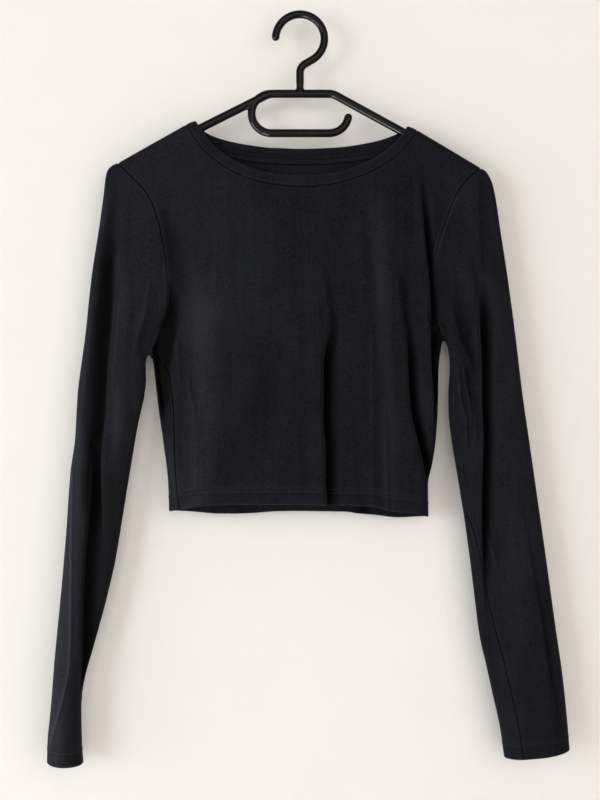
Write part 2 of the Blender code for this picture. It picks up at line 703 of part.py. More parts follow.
def rounded(before, corner, after, radius, steps):
    """Arc that rounds a corner between two straight runs."""
    before, corner, after = (np.array(point, float) for point in (before, corner, after))
    back = (before - corner) / np.linalg.norm(before - corner)
    on = (after - corner) / np.linalg.norm(after - corner)
    half = math.acos(np.clip(back @ on, -1, 1)) / 2
    start = corner + back * radius / math.tan(half)
    end = corner + on * radius / math.tan(half)
    centre = corner + (back + on) / np.linalg.norm(back + on) * radius / math.sin(half)
    points = []
    for share in np.linspace(0, 1, steps + 1):
        spoke = (start - centre) * (1 - share) + (end - centre) * share
        points.append(Point(*(centre + spoke / np.linalg.norm(spoke) * radius)))
    return points


def tube_rings(path, radius):
    """Rings of points round a path in the hanger's plane, closing to a point at each end."""
    path = np.array(path, float)
    heading = np.gradient(path, axis=0)
    heading /= np.linalg.norm(heading, axis=1, keepdims=True)
    sections = list(zip(path, heading, np.full(len(path), radius)))
    for lift in np.radians([30, 60, 90]):
        beyond, size = radius * math.sin(lift), radius * math.cos(lift)
        sections.insert(0, (path[0] - heading[0] * beyond, heading[0], size))
        sections.append((path[-1] + heading[-1] * beyond, heading[-1], size))
    around = np.linspace(0, 2 * math.pi, TUBE_SIDES + 1)
    rings = []
    for centre, way, size in sections:
        across = centre[0] - way[1] * size * np.cos(around)
        drop = centre[1] + way[0] * size * np.cos(around)
        rings.append(np.stack([across, size * np.sin(around), -drop], -1))
    return np.array(rings)


def tube(name, path, diameter, material, hidden=False):
    """Round tube with rounded ends. A hidden one only takes part in a Boolean."""
    bm = grid_mesh(tube_rings(path, diameter / 2))[0]
    bmesh.ops.remove_doubles(bm, verts=bm.verts[:], dist=1e-6)
    bmesh.ops.recalc_face_normals(bm, faces=bm.faces[:])
    thing = new_object(name, bm, material)
    if hidden:
        thing.hide_render = True
        thing.display_type = "WIRE"
    return thing


def arm_end(side):
    """Centre of an arm's end, just under the cloth at the shoulder tip."""
    tip, neck_point = shoulder(side)
    along = (neck_point - tip) / np.linalg.norm(neck_point - tip)
    inwards = np.array([-side * abs(along[1]), abs(along[0])])
    return tip + along * ARM_END_INSET + inwards * (JERSEY_WALL + SEAM_GAP + RAIL_TUBE / 2)


def rail_path():
    """Right arm, top bar and left arm."""
    ends = {side: Point(*arm_end(side)) for side in (RIGHT, LEFT)}
    corners = {side: Point(BAR_CORNER[side], BAR_DROP) for side in (RIGHT, LEFT)}
    path = [ends[RIGHT]]
    path += rounded(ends[RIGHT], corners[RIGHT], corners[LEFT], BAR_BEND, 5)
    path += rounded(corners[RIGHT], corners[LEFT], ends[LEFT], BAR_BEND, 5)
    return path + [ends[LEFT]]


def loop_path():
    """From inside the bar, round under it and up to the free tip."""
    radius = (LOOP_DROP - BAR_DROP) / 2
    middle = BAR_DROP + radius
    path = [Point(LOOP_TOP, BAR_DROP)]
    path += arc(Point(LOOP_CENTRE[RIGHT], middle), radius, 270, 90, 16)
    return path + arc(Point(LOOP_CENTRE[LEFT], middle), radius, 90, LOOP_TIP_ANGLE, 7)


def hook_path():
    """From the free tip over the crown, round to the stem and down to the bar."""
    path = arc(Point(0.0, HOOK_RADIUS - HOOK_TUBE / 2), HOOK_RADIUS,
               HOOK_TIP_ANGLE, HOOK_LEAVES_ANGLE, 22)
    leaving = path[-1]
    turned = math.radians(HOOK_LEAVES_ANGLE)
    to_stem = leaving.across / math.sin(turned)
    corner = Point(0.0, leaving.drop + to_stem * math.cos(turned))
    foot = Point(0.0, BAR_DROP)
    return path + rounded(leaving, corner, foot, STEM_BEND, 5) + [foot]


def hanger(material):
    """One moulding: arms and top bar, with the loop and the hook joined on."""
    body = tube("hanger", rail_path(), RAIL_TUBE, material)
    joined = (
        tube("loop_part", loop_path(), LOOP_TUBE, material, hidden=True),
        tube("hook_part", hook_path(), HOOK_TUBE, material, hidden=True),
    )
    for part in joined:
        join = body.modifiers.new(part.name, "BOOLEAN")
        join.operation = "UNION"
        join.object = part
    return body


# ---------------------------------------------------------------- the object

def new_material(name, colour, roughness):
    material = bpy.data.materials.new(name)
    material.use_nodes = True
    shader = material.node_tree.nodes["Principled BSDF"]
    shader.inputs["Base Color"].default_value = (*colour, 1)
    shader.inputs["Roughness"].default_value = roughness
    shader.inputs["Metallic"].default_value = 0
    return material


Piece = namedtuple("Piece", "points outward seams closed proud deep")


def build_cloth():
    """Panels, sleeves and neckband as walls drawn back from their seams, and the tape inside."""
    front, back = panel(FRONT), panel(BACK)
    panel_seams = ("top", "right", "left")
    pieces = {
        "front": Piece(front, -1, panel_seams, False, 0, JERSEY_WALL),
        "back": Piece(back, 1, panel_seams, False, 0, JERSEY_WALL),
        "sleeve_right": Piece(sleeve(RIGHT, front, back), -1, ["top"], True, 0, JERSEY_WALL),
        "sleeve_left": Piece(sleeve(LEFT, front, back), 1, ["top"], True, 0, JERSEY_WALL),
        "neckband": Piece(neckband(), 1, ["top"], True, BAND_PROUD, BAND_WALL - BAND_PROUD),
    }
    normals = shared_normals(pieces)
    for name, piece in pieces.items():
        points = drawn_back(piece.points, piece.seams, piece.closed)
        outer = points + normals[name] * piece.proud
        inner = points - normals[name] * piece.deep
        wall(name, outer, inner, new_material(name, BLACK_JERSEY, CLOTH_ROUGHNESS), piece.closed)

    tape = neck_tape()
    inwards = grid_normals(tape, 1)
    inwards /= np.linalg.norm(inwards, axis=-1, keepdims=True)
    outer = tape + inwards * (BAND_WALL - BAND_PROUD + SEAM_GAP)
    material = new_material("neck_tape", BLACK_TAPE, CLOTH_ROUGHNESS)
    wall("neck_tape", outer, outer + inwards * TAPE_WALL, material)


def main():
    for thing in list(bpy.data.objects):
        bpy.data.objects.remove(thing, do_unlink=True)
    build_cloth()
    hanger(new_material("hanger", BLACK_PLASTIC, PLASTIC_ROUGHNESS))


main()
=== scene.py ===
# %% [markdown]
# # A long-sleeved crop top on a tube hanger
#
# A top like this is cut from thin cotton jersey: a front, a back, two sleeves, a folded strip for
# the neckband and a narrow tape inside the back of the neck. It hangs almost flat, so what makes
# it look like cloth is the way it rolls over the hanger, the long folds that gravity pulls into
# it, and its sewing. The lesson builds each cut piece as its own sheet, sews them edge to edge,
# and ends with the finishes and the light. Left and right are the wearer's, so left is +X, and
# the front faces -Y.

# %% Load the frame
import json
import math
from collections import defaultdict, namedtuple

import bmesh
import bpy
import numpy as np
from mathutils import Matrix, Vector

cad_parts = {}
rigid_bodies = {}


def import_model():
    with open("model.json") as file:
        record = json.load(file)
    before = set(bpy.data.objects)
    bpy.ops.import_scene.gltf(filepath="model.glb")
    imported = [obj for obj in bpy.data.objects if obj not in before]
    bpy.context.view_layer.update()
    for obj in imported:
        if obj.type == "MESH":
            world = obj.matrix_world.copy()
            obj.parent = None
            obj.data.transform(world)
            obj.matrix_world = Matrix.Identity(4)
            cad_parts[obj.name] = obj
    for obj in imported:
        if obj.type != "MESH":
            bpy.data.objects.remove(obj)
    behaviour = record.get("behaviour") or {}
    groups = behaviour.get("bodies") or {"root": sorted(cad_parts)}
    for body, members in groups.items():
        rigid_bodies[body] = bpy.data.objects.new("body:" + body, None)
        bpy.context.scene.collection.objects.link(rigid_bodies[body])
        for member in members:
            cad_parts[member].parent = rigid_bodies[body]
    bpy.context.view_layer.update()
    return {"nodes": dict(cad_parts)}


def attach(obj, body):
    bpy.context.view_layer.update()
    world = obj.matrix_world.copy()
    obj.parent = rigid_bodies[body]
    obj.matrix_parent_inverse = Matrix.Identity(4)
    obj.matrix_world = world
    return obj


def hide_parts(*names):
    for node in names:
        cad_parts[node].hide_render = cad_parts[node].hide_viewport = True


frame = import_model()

MM = 0.001
FRONT, BACK = 1, -1
RIGHT, LEFT = -1, 1
print("frame:", sorted(frame["nodes"]))

# %% [markdown]
# ## The camera
# A garment on a wall is looked at from straight in front. The camera stands 1.25 m off, level
# with the middle of the top, so that the lines of the hanger and the hem stay parallel.

# %% Place the camera
CAMERA_AWAY = 1.25
CAMERA_DROP = 382.0
SEEN_HEIGHT = 0.8

lens = bpy.data.cameras.new("camera")
lens.sensor_width = 36.0
lens.lens = lens.sensor_width * CAMERA_AWAY / SEEN_HEIGHT
camera = bpy.data.objects.new("camera", lens)
camera.location = (0.0, -CAMERA_AWAY, -CAMERA_DROP * MM)
camera.rotation_euler = (math.radians(90), 0, 0)
bpy.context.scene.collection.objects.link(camera)
bpy.context.scene.camera = camera
print("camera: lens %.1f mm" % lens.lens)

# %% [markdown]
# ## Curves through measurements
# A pattern cutter draws a smooth curve through a few measured points. `rising` does the same:
# it passes through every value, and it never swings past one, so an edge can't grow a bump that
# nobody measured.

# %% Define smooth curves
def rising(keys, values):
    """Smooth curve through values at rising keys that never overshoots them."""
    keys = np.asarray(keys, float)
    values = np.asarray(values, float)
    step = np.diff(keys)
    slope = np.diff(values) / step
    tangent = np.zeros_like(values)
    tangent[0], tangent[-1] = slope[0], slope[-1]
    same_way = slope[:-1] * slope[1:] > 0
    before = 2 * step[1:] + step[:-1]
    after = step[1:] + 2 * step[:-1]
    safe = np.where(same_way, slope[:-1], 1), np.where(same_way, slope[1:], 1)
    mean = (before + after) / (before / safe[0] + after / safe[1])
    tangent[1:-1] = np.where(same_way, mean, 0)

    def value(key):
        key = np.clip(np.asarray(key, float), keys[0], keys[-1])
        i = np.clip(np.searchsorted(keys, key, side="right") - 1, 0, len(step) - 1)
        t = (key - keys[i]) / step[i]
        return (
            values[i] * (1 + 2 * t) * (1 - t) ** 2
            + values[i + 1] * t * t * (3 - 2 * t)
            + step[i] * t * (1 - t) * (tangent[i] * (1 - t) - tangent[i + 1] * t)
        )

    return value


def column(rows, name, key="drop"):
    """One named column of a table as a smooth function of its key column."""
    return rising([getattr(row, key) for row in rows], [getattr(row, name) for row in rows])


def through(points):
    """Smooth curve through points, from 0 to 1 along its length."""
    points = np.array(points, float)
    run = np.concatenate([[0], np.cumsum(np.linalg.norm(np.diff(points, axis=0), axis=1))])
    lines = [rising(run, points[:, axis]) for axis in range(points.shape[1])]
    return lambda t: np.stack([line(np.asarray(t) * run[-1]) for line in lines], -1)

# %% [markdown]
# Folds, blends and marks are made of three soft shapes. `ease` is a step, `hill` a bump that ends,
# and `bell` a bump with long tails.

# %% Define soft steps and bumps
DRAWN_TO_ENDS = 0.45
HAIR = 1e-9


def ease(value, start=0, end=1):
    """Smooth step from 0 at start to 1 at end."""
    share = np.clip((value - start) / (end - start), 0, 1)
    return share * share * (3 - 2 * share)


def hill(away, width):
    """1 at the crest, falling smoothly to 0 at a width away."""
    return (1 + np.cos(math.pi * np.clip(away / width, 0, 1))) / 2


def bell(away, width):
    """1 at the middle, with soft tails on both sides."""
    return np.exp(-((away / width) ** 2))


def denser_at_ends(even):
    """Even shares from 0 to 1, drawn a little towards both ends."""
    return (1 - DRAWN_TO_ENDS) * even + DRAWN_TO_ENDS * (1 - np.cos(math.pi * even)) / 2


def unit(vectors):
    """Vectors at length 1."""
    return vectors / np.maximum(np.linalg.norm(vectors, axis=-1, keepdims=True), HAIR)


print("a soft step:", [round(float(ease(share)), 2) for share in (0, 0.25, 0.5, 0.75, 1)])

# %% [markdown]
# ## The pattern
# These are the measurements of the hanging top, in millimetres. "across" runs along +X from the
# hanger's middle and "drop" runs down from the inside of the hook. The two ridges are where the
# cloth rolls over the hanger's arms, and the depths say how thick the flat body is at each level.

# %% Note the ridges, the depths and the side edges
Ridge = namedtuple("Ridge", "tip_across tip_drop neck_across neck_drop")
RIDGES = {
    RIGHT: Ridge(-181.5, 145.0, -114.5, 107.2),
    LEFT: Ridge(180.5, 150.2, 117.5, 112.6),
}
RIDGE_SLOPE_AT_NECK = 0.42
SQUARE_TO_RIDGE = 0.87

Depth = namedtuple("Depth", "drop radius middle front back")
DEPTHS = [
    Depth(100, 6.8, 0.0, 0.0, 0.0),
    Depth(150, 6.9, 0.0, 1.5, 0.5),
    Depth(200, 7.2, -0.2, 3.0, 1.0),
    Depth(320, 8.0, -0.5, 5.0, 1.5),
    Depth(400, 9.0, -1.0, 6.0, 2.0),
    Depth(500, 11.0, -2.0, 6.5, 2.5),
]

Edge = namedtuple("Edge", "drop across")
EDGES = {
    RIGHT: [
        Edge(100, -215), Edge(145, -195), Edge(200, -168), Edge(250, -156), Edge(300, -151),
        Edge(326, -150.6), Edge(345, -146.8), Edge(362, -144.7), Edge(392, -141.1),
        Edge(422, -136.8), Edge(467, -131.5), Edge(500, -130.5),
    ],
    LEFT: [
        Edge(100, 215), Edge(145, 195), Edge(200, 165), Edge(250, 152), Edge(300, 146),
        Edge(313, 144.6), Edge(331, 140.8), Edge(348, 138.7), Edge(392, 137.6),
        Edge(422, 135.6), Edge(445, 132.2), Edge(467, 127.8), Edge(500, 128.3),
    ],
}

# %% [markdown]
# The armholes run from the shoulder tips down to the underarms. Below them the side seams don't
# lie on the folded side edges: the right one has rolled onto the front and the left one onto the
# back, so each is measured on the face that SEAM_FACE names.

# %% Note the armholes and the side seams
UNDERARM_DROP = {RIGHT: 338.0, LEFT: 324.0}
SEAM_FACE = {RIGHT: FRONT, LEFT: BACK}
SIDE_SEAMS = {
    RIGHT: [
        Edge(342, -143.0), Edge(347, -134.5), Edge(357, -129.5),
        Edge(370, -127.5), Edge(400, -125), Edge(453, -123.5), Edge(491, -119),
    ],
    LEFT: [
        Edge(328, 136.0), Edge(334, 127.5), Edge(346, 122.5),
        Edge(370, 121), Edge(400, 120), Edge(453, 117), Edge(499, 114),
    ],
}

Point = namedtuple("Point", "across drop")
ARMHOLES = {
    (FRONT, RIGHT): [
        Point(-181.5, 145.0), Point(-170.5, 157), Point(-159.5, 167.5), Point(-149.5, 181),
        Point(-142.5, 198), Point(-136.5, 224), Point(-132.5, 251), Point(-131.5, 276),
        Point(-133.5, 297), Point(-138.0, 314), Point(-145.0, 328),
    ],
    (FRONT, LEFT): [
        Point(180.5, 150.2), Point(169, 160), Point(157, 175), Point(147.5, 197),
        Point(139, 222), Point(133.8, 243), Point(132.5, 264), Point(132.5, 284),
        Point(134.6, 297), Point(137.4, 307), Point(140.8, 316),
    ],
    (BACK, RIGHT): [
        Point(-181.5, 145.0), Point(-169.5, 155), Point(-157.5, 166), Point(-146.5, 182),
        Point(-138.5, 202), Point(-133.5, 230), Point(-131.0, 258), Point(-131.5, 285),
        Point(-134.5, 305), Point(-139.5, 319), Point(-146.0, 330),
    ],
    (BACK, LEFT): [
        Point(180.5, 150.2), Point(168.5, 159), Point(156, 171), Point(145, 189),
        Point(136.5, 212), Point(131.5, 238), Point(129.5, 260), Point(130, 280),
        Point(132.2, 295.5), Point(135.0, 306.5), Point(139.4, 316),
    ],
}

# %% [markdown]
# The neck seam and the hem have a curve on each face. The back neck is cut higher than the front,
# and both hems sway a little.

# %% Note the neck and the hem
NECK_SEAMS = {
    FRONT: [
        Point(-114.5, 107.2), Point(-107.0, 119.5), Point(-93.5, 136), Point(-72.5, 152),
        Point(-44.5, 164), Point(-16.5, 169), Point(0.5, 170), Point(29.5, 168),
        Point(60.5, 159.5), Point(88.5, 145), Point(109.0, 125.5), Point(117.5, 112.6),
    ],
    BACK: [
        Point(-114.5, 107.2), Point(-107.5, 117), Point(-95.0, 125.5), Point(-76.5, 132),
        Point(-52.5, 136.8), Point(-27.5, 139.6), Point(2.5, 140.5), Point(33.5, 139.5),
        Point(59.5, 136.5), Point(83.5, 131.5), Point(105.0, 123.0), Point(117.5, 112.6),
    ],
}

HEMS = {
    FRONT: [
        Point(-131, 493), Point(-119, 490.5), Point(-94.5, 487), Point(-53.5, 485.5),
        Point(0.5, 485.5), Point(28.5, 486.3), Point(73.5, 487.5), Point(88.5, 492),
        Point(113.5, 494.5), Point(129, 498.5),
    ],
    BACK: [
        Point(-131, 493), Point(-111.5, 494), Point(-78.5, 496.5), Point(-45.5, 496),
        Point(-20.5, 494), Point(0.5, 494), Point(40.5, 494.5), Point(73.5, 497.5),
        Point(99.5, 500), Point(129, 498.5),
    ],
}

RADIUS = column(DEPTHS, "radius")
MIDDLE = column(DEPTHS, "middle")
FULLNESS = {FRONT: column(DEPTHS, "front"), BACK: column(DEPTHS, "back")}
EDGE = {side: column(rows, "across") for side, rows in EDGES.items()}
HEM = {face: column(rows, "drop", key="across") for face, rows in HEMS.items()}
print("body: %.0f mm wide at the hem" % (EDGE[LEFT](485) - EDGE[RIGHT](485)))

# %% [markdown]
# ## The sleeves' measurements
# A hanging sleeve is a flattened tube. Two edges give its outline, and the sections say how far
# its front and back stand out along its length. The right sleeve is twisted, so near the cuff its
# broad way lies front to back. The underarm seam wanders: "turn" is where it is round the tube,
# in half turns from the outer edge over the front.

# %% Note the sleeves' edges
OUTER_EDGES = {
    RIGHT: [
        Edge(145, -181.5), Edge(147.3, -187), Edge(152, -192), Edge(158, -194),
        Edge(176, -196.2), Edge(212, -201.3), Edge(257, -208.2), Edge(317, -214.6),
        Edge(377, -222.3), Edge(422, -225), Edge(452, -229.2), Edge(512, -233.5),
        Edge(572, -238.5), Edge(632, -244.2), Edge(692, -249.0), Edge(722, -252), Edge(743, -252.6),
    ],
    LEFT: [
        Edge(150, 180.5), Edge(153, 185.4), Edge(158, 189), Edge(164, 191.8),
        Edge(176, 194.8), Edge(212, 200.4), Edge(257, 207.3), Edge(317, 215.3),
        Edge(377, 222.5), Edge(422, 229.0), Edge(482, 237.6), Edge(542, 246.2),
        Edge(602, 254.4), Edge(662, 262.9), Edge(707, 267.4), Edge(731, 269.4),
    ],
}
INNER_EDGES = {
    RIGHT: [
        Edge(334, -150.5), Edge(339, -153.3), Edge(347, -154.2), Edge(362, -154),
        Edge(377, -155.5), Edge(407, -162), Edge(452, -169.7), Edge(497, -177.0),
        Edge(542, -184.5), Edge(587, -195), Edge(632, -207.4), Edge(662, -215.6),
        Edge(677, -218), Edge(692, -218.8), Edge(722, -218.3), Edge(745, -216.8),
    ],
    LEFT: [
        Edge(318.5, 143.6), Edge(325, 146.0), Edge(336, 148.6), Edge(352, 149.7),
        Edge(377, 148.3), Edge(392, 148.5), Edge(422, 151.5), Edge(452, 156.4),
        Edge(497, 163.8), Edge(542, 170.0), Edge(587, 175.5), Edge(617, 179.4),
        Edge(647, 186.2), Edge(677, 192.8), Edge(707, 199.5), Edge(739, 204.2),
    ],
}

# %% Note the sleeves' sections and seams
Section = namedtuple("Section", "along front back apex round")
SECTIONS = {
    RIGHT: [
        Section(0.00, 7.0, 7.0, 0.50, 2.4), Section(0.08, 8.5, 8.0, 0.50, 2.4),
        Section(0.25, 10.5, 9.0, 0.50, 2.3), Section(0.45, 12.5, 10.0, 0.45, 2.1),
        Section(0.65, 16.0, 12.0, 0.38, 1.9), Section(0.85, 20.0, 15.0, 0.42, 2.0),
        Section(1.00, 22.0, 18.0, 0.50, 2.0),
    ],
    LEFT: [
        Section(0.00, 7.0, 7.0, 0.50, 2.4), Section(0.08, 8.5, 8.0, 0.50, 2.4),
        Section(0.25, 10.5, 9.0, 0.50, 2.4), Section(0.45, 11.5, 10.0, 0.50, 2.4),
        Section(0.65, 13.0, 12.0, 0.50, 2.3), Section(0.85, 17.0, 14.0, 0.50, 2.1),
        Section(1.00, 21.0, 17.0, 0.50, 2.0),
    ],
}

SeamTurn = namedtuple("SeamTurn", "along turn")
SLEEVE_SEAMS = {
    RIGHT: [
        SeamTurn(0, 1.0), SeamTurn(0.10, 1.0), SeamTurn(0.25, 1.08), SeamTurn(0.45, 1.20),
        SeamTurn(0.70, 1.28), SeamTurn(1.0, 1.32),
    ],
    LEFT: [
        SeamTurn(0, 1.0), SeamTurn(0.36, 1.0), SeamTurn(0.465, 0.823), SeamTurn(0.567, 0.765),
        SeamTurn(0.67, 0.729), SeamTurn(0.77, 0.694), SeamTurn(0.875, 0.682), SeamTurn(1.0, 0.667),
    ],
}

SLEEVE_LENGTH = 600.0
HEAD_REACH = 0.24
UNDERARM_REACH = 0.022
REACH_CHANGE = (0.55, 0.95)
SIDEWAYS_FROM = 0.3
OUTER_SPREAD = 0.05
OUTER_SPREAD_OVER = 0.03

# %% [markdown]
# ## Folds
# Jersey on a hanger doesn't ripple evenly. Most of its folds are lopsided: the cloth stands proud
# on one side, falls off steeply over a short step, and comes back slowly on the other side. So a
# fold here is a line with a crest on its first side and a trough on its second. The second side
# is +X where the line is drawn downwards; a line drawn upwards turns the fold round. Every fold
# has sizes of its own, and "fade" is how far it takes to die out at each end.

